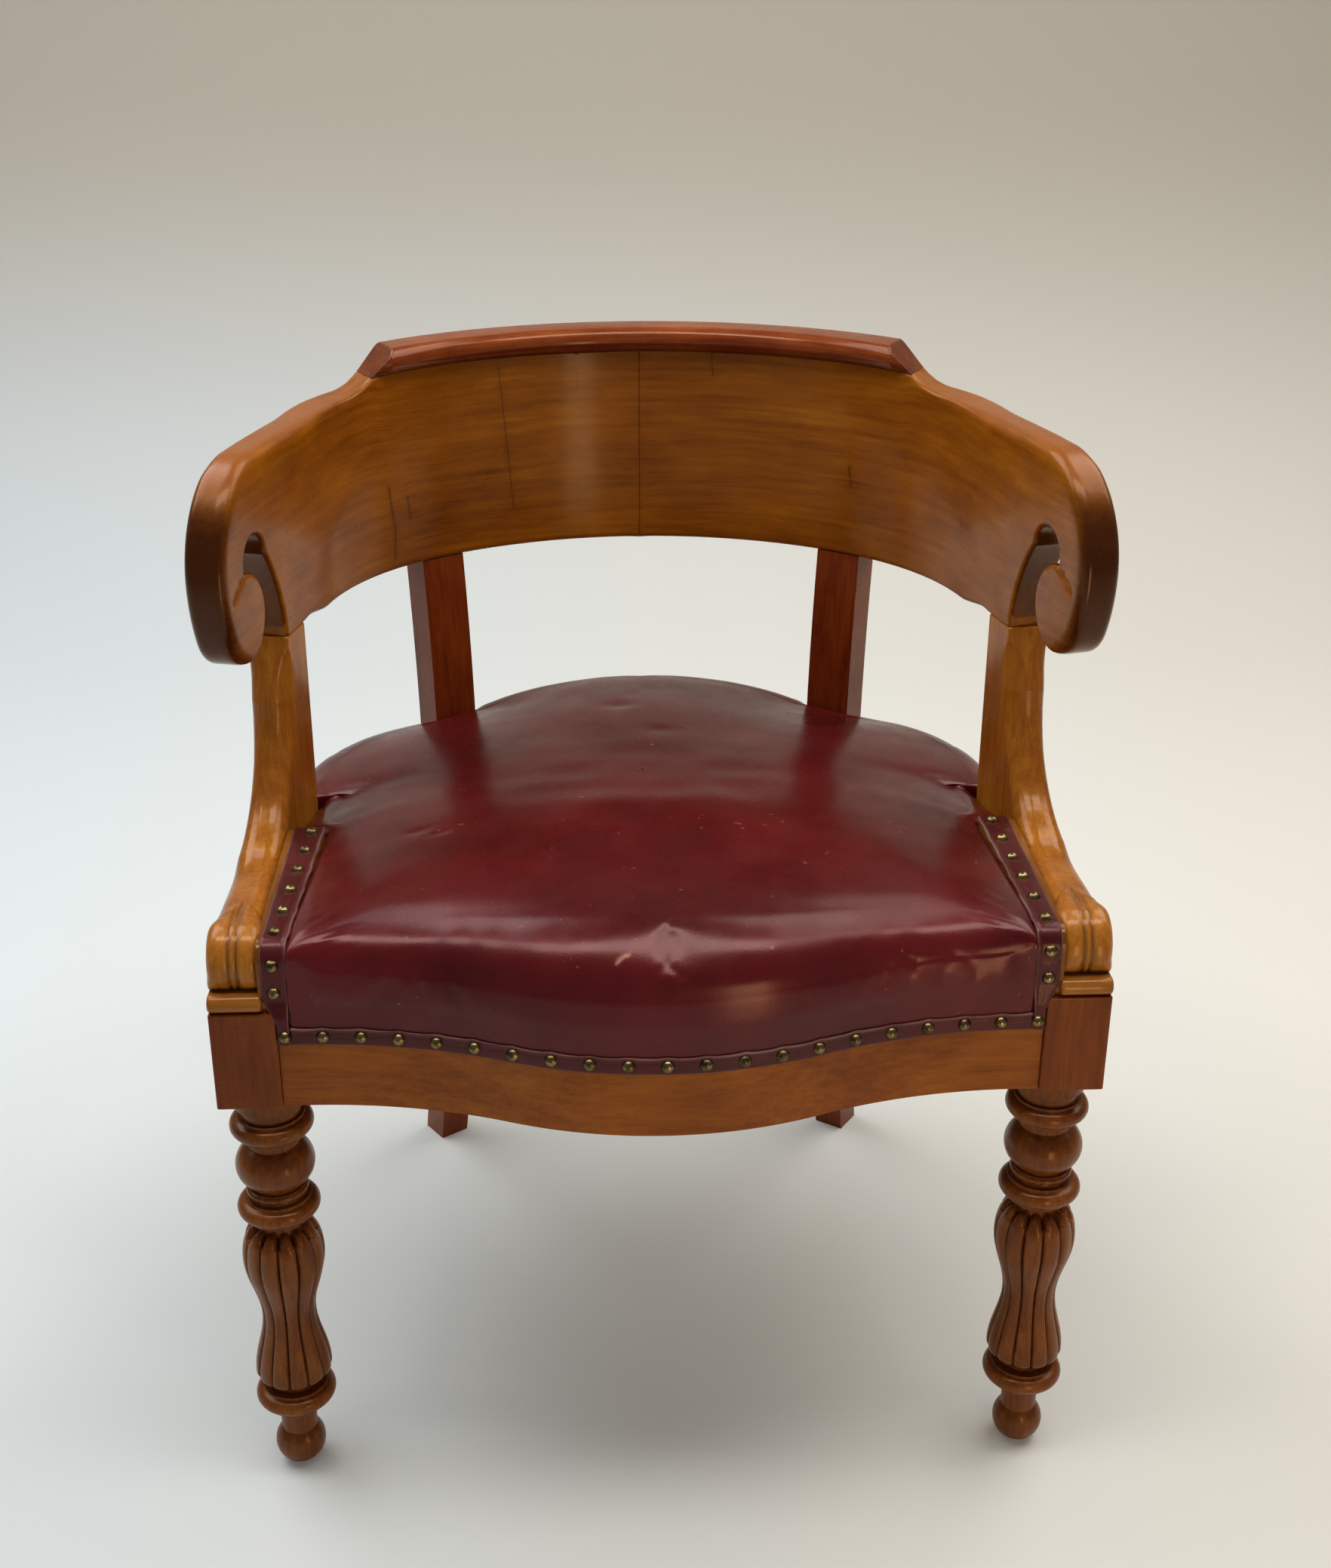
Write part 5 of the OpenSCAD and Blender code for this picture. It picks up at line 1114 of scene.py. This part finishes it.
def swell(piece, hold):
    # inflate the cover with the cloth solver, then allow each point only a small part of the way
    before = placePoints(piece)
    group = piece.vertex_groups.new(name="held")
    for level in np.unique(np.round(hold, 1)):
        group.add(np.where(np.round(hold, 1) == level)[0].tolist(), float(level), "REPLACE")
    cloth = piece.modifiers.new("cloth", "CLOTH")
    s = cloth.settings
    s.quality, s.mass = 5, 0.3
    s.tension_stiffness = s.compression_stiffness = 18
    s.shear_stiffness, s.bending_stiffness = 6, 2.0
    s.use_pressure, s.uniform_pressure_force = True, seat["pressure"]
    s.effector_weights.gravity = 0
    s.vertex_group_mass = "held"
    cloth.collision_settings.use_collision = False
    scene = bpy.context.scene
    scene.frame_start, scene.frame_end = 1, seat["steps"]
    for f in range(1, seat["steps"] + 1):
        scene.frame_set(f)
    swelled = piece.evaluated_get(bpy.context.evaluated_depsgraph_get())
    after = readPoints(swelled.to_mesh().vertices, "co")
    swelled.to_mesh_clear()
    piece.modifiers.remove(cloth)
    scene.frame_set(1)
    shift = after - before
    size = np.linalg.norm(shift, axis=1)[:, None]
    cap = seat["cap"] * mm
    shift = shift / np.maximum(size, 1e-9) * cap * np.tanh(size / cap) * (1 - hold)[:, None]
    movePoints(piece, before + shift)
    print("seat swelled by up to", round(float(np.linalg.norm(shift, axis=1).max() / mm), 1), "mm")


def halved(grid):
    # a new row or column half way between each two, on a cubic through the four nearest; columns wrap round
    def between(g, axis, closed):
        n = g.shape[axis]
        i = np.arange(n if closed else n - 1)
        four = [(i + k) % n if closed else np.clip(i + k, 0, n - 1) for k in (-1, 0, 1, 2)]
        a, b, c, d = (np.take(g, pick, axis=axis) for pick in four)
        shape = list(g.shape)
        shape[axis] = n * 2 if closed else n * 2 - 1
        out = np.empty(shape)
        whole, half = [slice(None)] * g.ndim, [slice(None)] * g.ndim
        whole[axis], half[axis] = slice(0, None, 2), slice(1, None, 2)
        out[tuple(whole)], out[tuple(half)] = g, (9 * (b + c) - a - d) / 16
        return out
    return between(between(grid, 0, False), 1, True)


def chairPoints(piece):
    return placePoints(piece) / mm + [0, chair["midY"], 0]


def refined(piece, rings, cols):
    # the swelled cover again with twice the points each way
    fineGrid = halved(chairPoints(piece)[:-1].reshape(rings, cols, 3))
    old = piece.data
    bpy.data.objects.remove(piece)
    bpy.data.meshes.remove(old)
    return addMesh("seat_cover", *capped(fineGrid), fixNormals=False), fineGrid.shape[:2]


def evenMiddle(at):
    # round the middle point the height eases into one quadric fitted to the crown, so no pinch shows there
    x, y = at[:, 0], at[:, 1] - seat["middleY"]
    reach = np.hypot(x, y)
    terms = np.stack([np.ones(len(x)), x, y, x * x, y * y, x * y], 1)
    ring = (reach > 30) & (reach < 95)
    fit = np.linalg.lstsq(terms[ring], at[ring, 2], rcond=None)[0]
    ease = share((80 - reach) / 50)
    ease = ease * ease * (3 - 2 * ease)
    out = at.copy()
    out[:, 2] += (terms @ fit - at[:, 2]) * ease
    return out


# dimples: middle, depth and half width; draws from the cuts round the wood: where, width as an angle,
# depth and length; scrapes on the front roll: a line and its half width
seatMarks = dict(
    dimples=(((-22, 352), 1.8, 9), ((10, 290), 0.9, 9), ((-176, 120), 0.8, 5), ((-158, 112), 0.6, 4)),
    draws=(((262, 236), 0.045, 2.0, 110), ((258, 166), 0.05, 1.2, 90), ((143, 424), 0.055, 1.6, 60),
           ((172, 400), 0.05, 1.4, 55)),
    scrapes=((((-33, -60), (-29, -57.5), (-25, -56.5)), 1.0), (((117, -74), (123, -72.5)), 0.9)))


def seatRelief(at, k, near):
    # how far each point of the cover stands out: creases, clouds, dimples, draws and a fuller side
    x, y = at[:, 0], at[:, 1]
    frontish = bell(k - 1.8, 1.7) * share((120 - y) / 120)
    ripple = 0.5 * np.sin(x * 0.20 + 1.4 * np.sin(x * 0.047))
    ripple += 0.9 * smoothNoise(at * [1, 0.35, 0.35], 26.0, 5)
    lift = 0.14 * frontish * ripple
    lift += 0.6 * smoothNoise(at, 170.0, 8) * share((k - 3) / 2)
    lift += 0.16 * smoothNoise(at, 60.0, 9) * share((k - 1) / 2)
    for (cx, cy), deep, wide in seatMarks["dimples"]:
        lift -= deep * bell(x - cx, wide * 1.5) * bell(y - cy, wide)
    # draws run in from each cut toward the middle and die out
    angle = np.arctan2(y - seat["middleY"], np.abs(x))
    reach = np.hypot(x, y - seat["middleY"])
    for (cx, cy), wide, deep, length in seatMarks["draws"]:
        r0 = math.hypot(cx, cy - seat["middleY"])
        fade = share(1 - (r0 - reach) / length) * (reach < r0 + 4)
        off = angle - math.atan2(cy - seat["middleY"], cx) - 0.10 * (1 - fade)
        lift -= deep * bell(off, wide * (1.4 - 0.6 * fade)) * fade ** 1.5 * (k > 1.5)
    lift += 2.2 * share(1 - np.abs(k + 0.35) / 0.6) * (1 - near)
    return lift * share(1 - near * 1.2)


def makeSeat():
    rings = seatRings(9, 15, 26)
    points = seatSurface(0.0, rings)
    rows, cols = points.shape[:2]
    flat, faces = capped(points)
    piece = addMesh("seat_pattern", flat, faces, fixNormals=False)
    # held at the rails and where it is cut round the wood (near runs from 1 there to 0 in 25 mm)
    k = np.append(np.repeat(rings, cols), 8.0)
    x, y = np.abs(flat[:, 0]), flat[:, 1]
    u, v = acrossLeg(x, y)
    legDistance = np.hypot(np.maximum(np.abs(u) - seat["legW"] / 2, 0), np.maximum(-v, 0))
    supportDistance = np.hypot(np.maximum(262 - x, 0), np.maximum(np.maximum(-30 - y, y - rearY), 0))
    near = share(1 - (np.minimum(legDistance, supportDistance) - 3) / 22)
    swell(piece, np.maximum(k <= -0.45, near))
    piece, (fineRows, fineCols) = refined(piece, rows, cols)
    k = np.append(np.repeat(np.interp(np.arange(fineRows) / 2, np.arange(rows), rings), fineCols), 8.0)
    near = np.append(halved(near[:-1].reshape(rows, cols)).ravel(), 0.0)
    at = evenMiddle(chairPoints(piece))
    at = keepClear(at + pointNormals(piece) * seatRelief(at, k, near)[:, None], 0.0)
    movePoints(piece, inFrame(at))
    worn = np.zeros(len(at))
    for line, wide in seatMarks["scrapes"]:
        d, _ = segmentDistance(at[:, :2], np.array(line, float), closed=False)
        worn = np.maximum(worn, 0.75 * bell(d, wide) * (k > -0.2))
    wall = piece.modifiers.new("hide", "SOLIDIFY")
    wall.thickness, wall.offset = seat["leatherT"] * mm * 0.9, -1
    finishPiece(piece, seatHide, "seat_leather", "seat_leather", wear=worn)
    return piece


def makeStuffing():
    # the same surface 5 mm under the leather, with a flat floor on the webbing's cloth
    points = seatSurface(seat["leatherT"] + 5.0, seatRings(2, 6, 8)[1:])
    floorRow = points[:1].copy()
    floorRow[..., 2] = chair["railTop"] + 1.6
    flat, faces = capped(np.concatenate([floorRow, points]))
    cols = points.shape[1]
    flat = np.vstack([flat, [[0, seat["middleY"], chair["railTop"] + 1.6]]])
    faces += [[(k + 1) % cols, k, len(flat) - 1] for k in range(cols)]
    piece = addMesh("stuffing_pad", flat, faces, fixNormals=False)
    finishPiece(piece, fibre, "seat_stuffing", "stuffing")


made = makeSeat()
makeStuffing()
print("seat", len(made.data.vertices))


# The leather strips under the nails, and how far they stand off the wood
strip = dict(width=13.0, thick=1.5, out=3.3, z=393.0, gap=0.2, nails=21)


def makeStrip(name, path, out, across, width, nailPlaces, node, wave=0.9):
    # v runs from -1 to 1 across the strip, which is thick millimetres deep and 0.3 (1 - v^2) more
    # between the nails, with a raised fold near one edge and a crease that wanders along it
    s = runAlong(path)
    count = max(int(s[-1] / 1.3), 8)
    at = np.linspace(0, s[-1], count)
    p, n, a = (np.stack([np.interp(at, s, np.broadcast_to(src, path.shape)[:, c]) for c in range(3)], 1)
               for src in (path, out, across))
    w = np.interp(at, s, np.broadcast_to(width, len(s))) / 2
    near = bell(np.abs(at[:, None] - np.asarray(nailPlaces)[None]).min(1), 5.2)[:, None]
    rng = np.random.default_rng(len(name) * 7 + count)
    knots = max(int(s[-1] / 14), 4)
    drift = np.interp(at, np.linspace(0, s[-1], knots), rng.uniform(-1, 1, knots))[:, None]
    v = np.concatenate([[-1.0, -0.97, -0.9], np.linspace(-0.78, 0.78, 11), [0.9, 0.97, 1.0]])[None]
    bulge = 0.315 * (1 - v ** 2) * (1 - near) + 0.084 * drift
    fold = 0.55 * bell(v - 0.84, 0.10)
    crease = -0.22 * bell(v - 0.25 - 0.3 * np.cos(at / 13.0)[:, None], 0.10) * (1 - near)
    rounded = np.sqrt(np.clip(1 - share((np.abs(v) - 0.88) / 0.12) ** 2, 0.12, 1))
    lift = (strip["thick"] * 0.985 + bulge + fold + crease) * rounded
    lift = np.where(np.abs(v) < 0.55, lift * (1 - near) + strip["thick"] * 0.99 * near, lift)
    edgeShift = np.where(v > 0.5, wave * (near - 0.35) + 0.3 * drift, 0.15 * drift * (v < -0.5))
    place = (w[:, None] * v + edgeShift * share((np.abs(v) - 0.5) / 0.4))[..., None]
    p, n, a = p[:, None], unit(n)[:, None], unit(a)[:, None]
    back = p + a * place * 0.995 + n * 0.03
    ring = np.concatenate([p + a * place + n * lift[..., None], back[:, ::-1]], 1)
    piece = addMesh(name, ring.reshape(-1, 3), tubeFaces(count, ring.shape[1]))
    wear = np.zeros(ring.shape[:2])
    # pale along the fold near one edge, partly a painted highlight on the fold's lip and partly rubbed wear;
    # the other edge is pale with wear
    wear[:, :v.size] = 0.5 * bell(v - 0.9, 0.08) + 0.8 * bell(v + 1, 0.06)
    finishPiece(piece, stripHide, node, "strip_leather", wear=share(wear * (0.6 + 0.4 * drift)))


def makeFrontStrip():
    x = np.linspace(-(ledgeX - 0.3), ledgeX - 0.3, 400)
    path = np.stack([x, faceY(x, strip["out"]), np.full(400, strip["z"])], 1)
    tangent = np.gradient(path, axis=0)
    out = np.stack([tangent[:, 1], -tangent[:, 0], 0 * x], 1)
    endX = 266 - 9.5 / 2 - 0.6
    nailX = endX * (2 * np.arange(strip["nails"]) / (strip["nails"] - 1) - 1)
    makeStrip("front_strip", path, out, up, strip["width"], np.interp(nailX, x, runAlong(path)),
              "front_trim")


def makeSideStrip(side):
    # up the corner beside the block, up the face of the ledge, over its nose and back along the top
    f, ledgeBack, nose, g = support["ledgeFront"], support["ledgeBack"], support["noseR"], strip["gap"]
    top, lowY = chair["railTop"] + support["ledgeH"], f - strip["out"]
    foot = [[lowY, 386.7], [lowY, 400], [lowY + 0.1, 407], [lowY + 1.2, 411.5], [f - g - 0.9, 415.2],
            [f - g, 419], [f - g, 430], [f - g, top - nose - 4]]
    over = arc(f + nose, top - nose, nose + g, 180, 96, 16)
    ys = np.linspace(f + nose + 3, ledgeBack - 1, 40)
    flat = np.stack([ys, top + g + support["ledgeRise"] * (ys - f - nose) / (ledgeBack - f - nose)], 1)
    line = resample(np.vstack([foot, over, flat]), 2.0, closed=False)
    y, z = line.T
    run = runAlong(line)
    # from the narrow foot it widens to cover the ledge, which is wider toward the back
    onLedge = share((run - 16) / 18)
    wide = 18.4 + 6.0 * share(y / ledgeBack)
    middle = 261.3 * (1 - onLedge) + (ledgeIn(y) - 1.1 + wide / 2) * onLedge
    width = 8.4 * (1 - onLedge) + wide * onLedge
    t = np.gradient(line, axis=0)
    out = np.stack([0 * y, -t[:, 1], t[:, 0]], 1)
    places = [np.interp(nailZ, z[:30], run[:30]) for nailZ in (426.0, 447.0)]
    later = run > np.interp(top - nose, z[:40], run[:40]) + 10
    places += np.interp(np.linspace(f + nose + 4, ledgeBack - 8, 6), y[later], run[later]).tolist()
    makeStrip("side_strip_" + sideName[side], np.stack([middle * side, y, z], 1), out, [-1.0 * side, 0, 0],
              width, places, "side_trim_" + sideName[side], wave=0.7)


def makeRearStrips():
    # one strip across the back rail between the rear legs, and one from each leg round the corner
    z, m = strip["z"], strip["out"]
    backX = legPoint(-notch - 0.5, 12)[0] - 2
    x = np.linspace(-backX, backX, 160)
    path = np.stack([x, backY(x, m), np.full(160, z)], 1)
    out = np.stack([x, backY(x, m) - backRailCy, 0 * x], 1)
    endA = math.asin((legPoint(-notch - 6, 12)[0] - 8) / seat["backRailR"])
    nails = (seat["backRailR"] + m) * endA * (np.arange(11) / 5 - 1) + runAlong(path)[-1] / 2
    makeStrip("rear_strip_middle", path, out, up, strip["width"], nails, "rear_trim")
    end = legPoint(notch + 0.5, 12) - [cornerX, seat["cornerY"]]
    a = np.linspace(taper, math.atan2(end[1], end[0]) - 0.012, 60)[1:]
    ys = np.linspace(rearY + 12.5, seat["cornerY"], 12)[:-1]
    line = np.vstack([np.stack([sideFace(ys) + m / math.cos(taper), ys], 1), cornerPoint(a, m)])
    turn = np.concatenate([np.full(len(ys), taper), a])
    for side in (-1, 1):
        path = np.stack([line[:, 0] * side, line[:, 1], np.full(len(line), z)], 1)
        out = np.stack([np.cos(turn) * side, np.sin(turn), 0 * turn], 1)
        nails = np.interp([rearY + 14, rearY + 40], line[:, 1], runAlong(line))
        makeStrip("rear_strip_" + sideName[side], path, out, up, strip["width"], nails, "rear_trim")


makeFrontStrip()
for side in sideName:
    makeSideStrip(side)
makeRearStrips()
print("strips made")


# Under the seat: hessian, three webbing strips each way, and a spring on five of the crossings
under = dict(webW=50.0, webT=2.0, pitch=105.0, firstY=190.0, wire=3.2, coilR=36.0, turns=5)
webY = [under["firstY"] + k * under["pitch"] for k in (-1, 0, 1)]
webX = [k * under["pitch"] for k in (-1, 0, 1)]


def thinSheet(name, grid, mat, node, slotName):
    # a grid of middle points (rows by columns by xyz, in millimetres) given 0.45 mm on either side
    rows, cols = grid.shape[:2]
    m = rows * cols
    ids = np.arange(m).reshape(rows, cols)
    rim = np.concatenate([ids[0], ids[1:, -1], ids[-1, -2::-1], ids[-2:0:-1, 0]])
    nextRim = np.roll(rim, -1)
    quads = gridFaces(rows, cols)
    faces = np.vstack([quads, quads[:, ::-1] + m, np.stack([rim, nextRim, m + nextRim, m + rim], 1)])
    both = np.concatenate([grid + 0.45 * up, grid - 0.45 * up]).reshape(-1, 3)
    piece = finishPiece(addMesh(name, both, faces.tolist()), mat, node, slotName)


def makeWebbing():
    # the cross strips lie flat under the rails, and each long strip steps up over them by its thickness
    half = 0.2 + under["webT"] / 2  # a gap and half the thickness
    low, high = chair["railBottom"] - half, chair["railBottom"] + half
    wide = under["webW"]
    v = np.linspace(-wide / 2, wide / 2, 14)
    for k, y in enumerate(webY):
        reach = float(sideFace(y)) - 8
        xx, vv = np.meshgrid(np.linspace(-reach, reach, 120), v, indexing="ij")
        sag = 0.25 * np.cos(xx / 17.0) * (np.abs(xx) < reach - 30)
        grid = np.stack([xx, y + vv + 0.3 * np.sin(xx / 31.0 + k), low + np.minimum(sag, 0)], -1)
        thinSheet("webbing_cross_strip_%d" % (k + 1), grid, webJute, "webbing_cross", "webbing")
    for k, x in enumerate(webX):
        edgeX = abs(x) + wide / 2
        stops = [float(faceY(edgeX, 0)) + 8, seat["railFront"] + 35, webY[0] - 31, webY[2] + 31,
                 backY(under["pitch"] + wide / 2, -26) - 4, backY(edgeX, 0) - 8]
        y = np.linspace(stops[0], stops[-1], 140)
        z = np.interp(y, stops, [low, low, high, high, low, low])
        yy, vv = np.meshgrid(y, v, indexing="ij")
        grid = np.stack([x + vv + 0.3 * np.sin(yy / 29.0 + k), yy, np.repeat(z[:, None], len(v), 1)], -1)
        length = float(runAlong(np.stack([y, z], 1))[-1])
        thinSheet("webbing_long_strip_%d" % (k + 1), grid, webJute, "webbing_long", "webbing")


def makeHessian():
    # the seat's outline drawn in to a row of smaller rings, closed in the middle
    edge = seatEdge(7.0)[:, :2]
    middle = np.array([0, seat["middleY"]])
    rings = middle + (edge - middle) * np.linspace(1, 0.02, 26)[:, None, None]
    grid = np.dstack([rings, np.full(rings.shape[:2], chair["railTop"] + 0.8)])
    rows, cols = grid.shape[:2]
    m, k = rows * cols, np.arange(cols)
    after, last = (k + 1) % cols, (rows - 1) * cols + k
    quads = gridFaces(rows, cols, wrapCols=True)
    sides = np.vstack([quads, quads[:, ::-1] + m, np.stack([k, after, m + after, m + k], 1)])
    faces = sides.tolist() + [last.tolist(), (m + last)[::-1].tolist()]
    both = np.concatenate([grid + 0.4 * up, grid - 0.4 * up]).reshape(-1, 3)
    piece = finishPiece(addMesh("hessian_sheet", both, faces), hessianJute, "spring_hessian", "hessian")


def makeSprings():
    # an hour-glass coil of round wire on each crossing: radius r(t) = R (0.62 + 0.38 |2t - 1|^1.5)
    wireR = under["wire"] / 2
    low = chair["railBottom"] + 0.5 + under["webT"] + wireR
    high = chair["railTop"] - wireR
    t = np.linspace(0, 1, under["turns"] * 28 + 1)
    a = 2 * np.pi * under["turns"] * t
    r = under["coilR"] * (0.62 + 0.38 * np.abs(2 * t - 1) ** 1.5)
    out = np.stack([np.cos(a), np.sin(a), 0 * a], 1)
    line = r[:, None] * out + (low + (high - low) * t)[:, None] * up
    b = np.linspace(0, 2 * np.pi, 10, endpoint=False)[:, None]
    tube = (line[:, None] + wireR * (np.cos(b) * out[:, None] + np.sin(b) * up)).reshape(-1, 3)
    points, faces = [], []
    for x, y in [(webX[1], webY[1])] + [(x, y) for x in webX[::2] for y in webY[::2]]:
        faces += [[len(points) * len(tube) + k for k in f] for f in tubeFaces(len(t), len(b))]
        points.append(tube + [x, y, 0])
    piece = addMesh("spring_coils", np.vstack(points), faces)
    finishPiece(piece, springSteel, "seat_springs", "spring_steel")


makeWebbing()
makeHessian()
makeSprings()
print("under the seat made")


# Pale floor and wall: a plain matt grey that keeps the eye on the chair
def makeStage():
    # the floor runs up into the wall behind the chair in one sweep, a quarter circle 1.2 m in radius
    a = np.linspace(0, np.pi / 2, 14)[1:]
    y = np.concatenate([np.linspace(-4, 1.5, 12), 1.5 + 1.2 * np.sin(a), [2.7, 2.7]])
    z = np.concatenate([np.zeros(12), 1.2 * (1 - np.cos(a)), [2.5, 5.0]])
    x = np.tile([-6.0, 6.0], (len(y), 1))
    points = np.stack([x, np.repeat(y[:, None], 2, 1), np.repeat(z[:, None], 2, 1)], -1)
    mesh = bpy.data.meshes.new("backdrop")
    mesh.from_pydata(points.reshape(-1, 3).tolist(), [], gridFaces(len(y), 2).tolist())
    mesh.polygons.foreach_set("use_smooth", np.ones(len(mesh.polygons), bool))
    floor = bpy.data.objects.new("backdrop", mesh)
    bpy.context.scene.collection.objects.link(floor)
    mat, tree = newMaterial("Backdrop pale")
    at = addNode(tree, "TexCoord", "Object")
    x, z = (addNode(tree, "SeparateXYZ", k, in0=at) for k in (0, 2))
    across = addNode(tree, "MapRange", settings=easing, in0=x, in1=-1.2, in2=1.4)
    height = addNode(tree, "MapRange", settings=easing, in0=z, in1=-0.1, in2=0.8)
    colour = addNode(tree, "ValToRGB", in0=across, stops=[
        (0.0, "#d3dbdf"), (0.5, "#dbdcd8"), (1.0, "#ded9cf")])
    colour = addNode(tree, "Mix", 2, settings=mixing, in0=height, in6=colour, in7="#b5ad9f")
    # only the camera sees this little extra, so the shadow is paler and no light is added to the chair
    extra = addNode(tree, "Math", settings=times, in0=addNode(tree, "LightPath", "Is Camera Ray"), in1=0.08)
    shader = addNode(tree, "BsdfPrincipled", Base_Color=colour, Roughness=0.85, Emission_Color=colour,
                     Emission_Strength=extra)
    addNode(tree, "OutputMaterial", Surface=shader)
    mesh.materials.append(mat)


def addLight(name, place, target, size, power, colour):
    lamp = bpy.data.lights.new(name, "AREA")
    lamp.shape = "RECTANGLE"
    lamp.size, lamp.size_y = size
    lamp.energy, lamp.color = power, colour
    holder = bpy.data.objects.new(name, lamp)
    holder.location = place
    holder.rotation_euler = (Vector(target) - Vector(place)).to_track_quat("-Z", "Y").to_euler()
    holder.visible_camera = False
    bpy.context.scene.collection.objects.link(holder)


def makeCamera():
    # the place and turn solved from the photograph
    yaw, pitch, roll = 0.04695612, 0.42099711, -0.00307761
    place = Vector((-0.05470309, -1.19470606 - chair["midY"] * mm, 1.10214461))
    look = Vector((math.sin(yaw) * math.cos(pitch), math.cos(yaw) * math.cos(pitch), -math.sin(pitch)))
    right = Vector((math.cos(yaw), -math.sin(yaw), 0))
    down = look.cross(right)
    across = right * math.cos(roll) + down * math.sin(roll)
    upward = right * math.sin(roll) - down * math.cos(roll)
    lens = bpy.data.cameras.new("camera")
    lens.sensor_fit = "AUTO"
    lens.sensor_width = 36.0
    lens.lens = 2600 / 2078 * lens.sensor_width  # focal length and height of the photograph in pixels
    lens.clip_start = 0.05
    camera = bpy.data.objects.new("camera", lens)
    turn = Matrix((across, upward, -look)).transposed()
    camera.matrix_world = Matrix.Translation(place) @ turn.to_4x4()
    bpy.context.scene.collection.objects.link(camera)
    bpy.context.scene.camera = camera


makeStage()
addLight("rear left", (-1.6, 0.9, 2.6), (0, 0, 0.3), (2.2, 1.6), 43, (0.96, 0.98, 1.0))
addLight("rear right", (1.6, 0.8, 2.6), (0, 0, 0.3), (2.2, 1.6), 38, (1.0, 0.96, 0.90))
addLight("overhead", (0.0, -0.45, 2.8), (0, -0.1, 0.4), (2.4, 0.6), 37, (1.0, 0.97, 0.93))
addLight("lamp strip", (0.46, -1.15, 0.32), (-0.05, 0.26, 0.68), (0.2, 0.5), 1.6, (1.0, 0.74, 0.40))
world = bpy.data.worlds.new("studio")
world.use_nodes = True
bpy.context.scene.world = world
world.node_tree.nodes["Background"].inputs[0].default_value = toLinear("#dfe2e4")
world.node_tree.nodes["Background"].inputs[1].default_value = 0.26
makeCamera()
bpy.context.scene.view_settings.view_transform = "Standard"
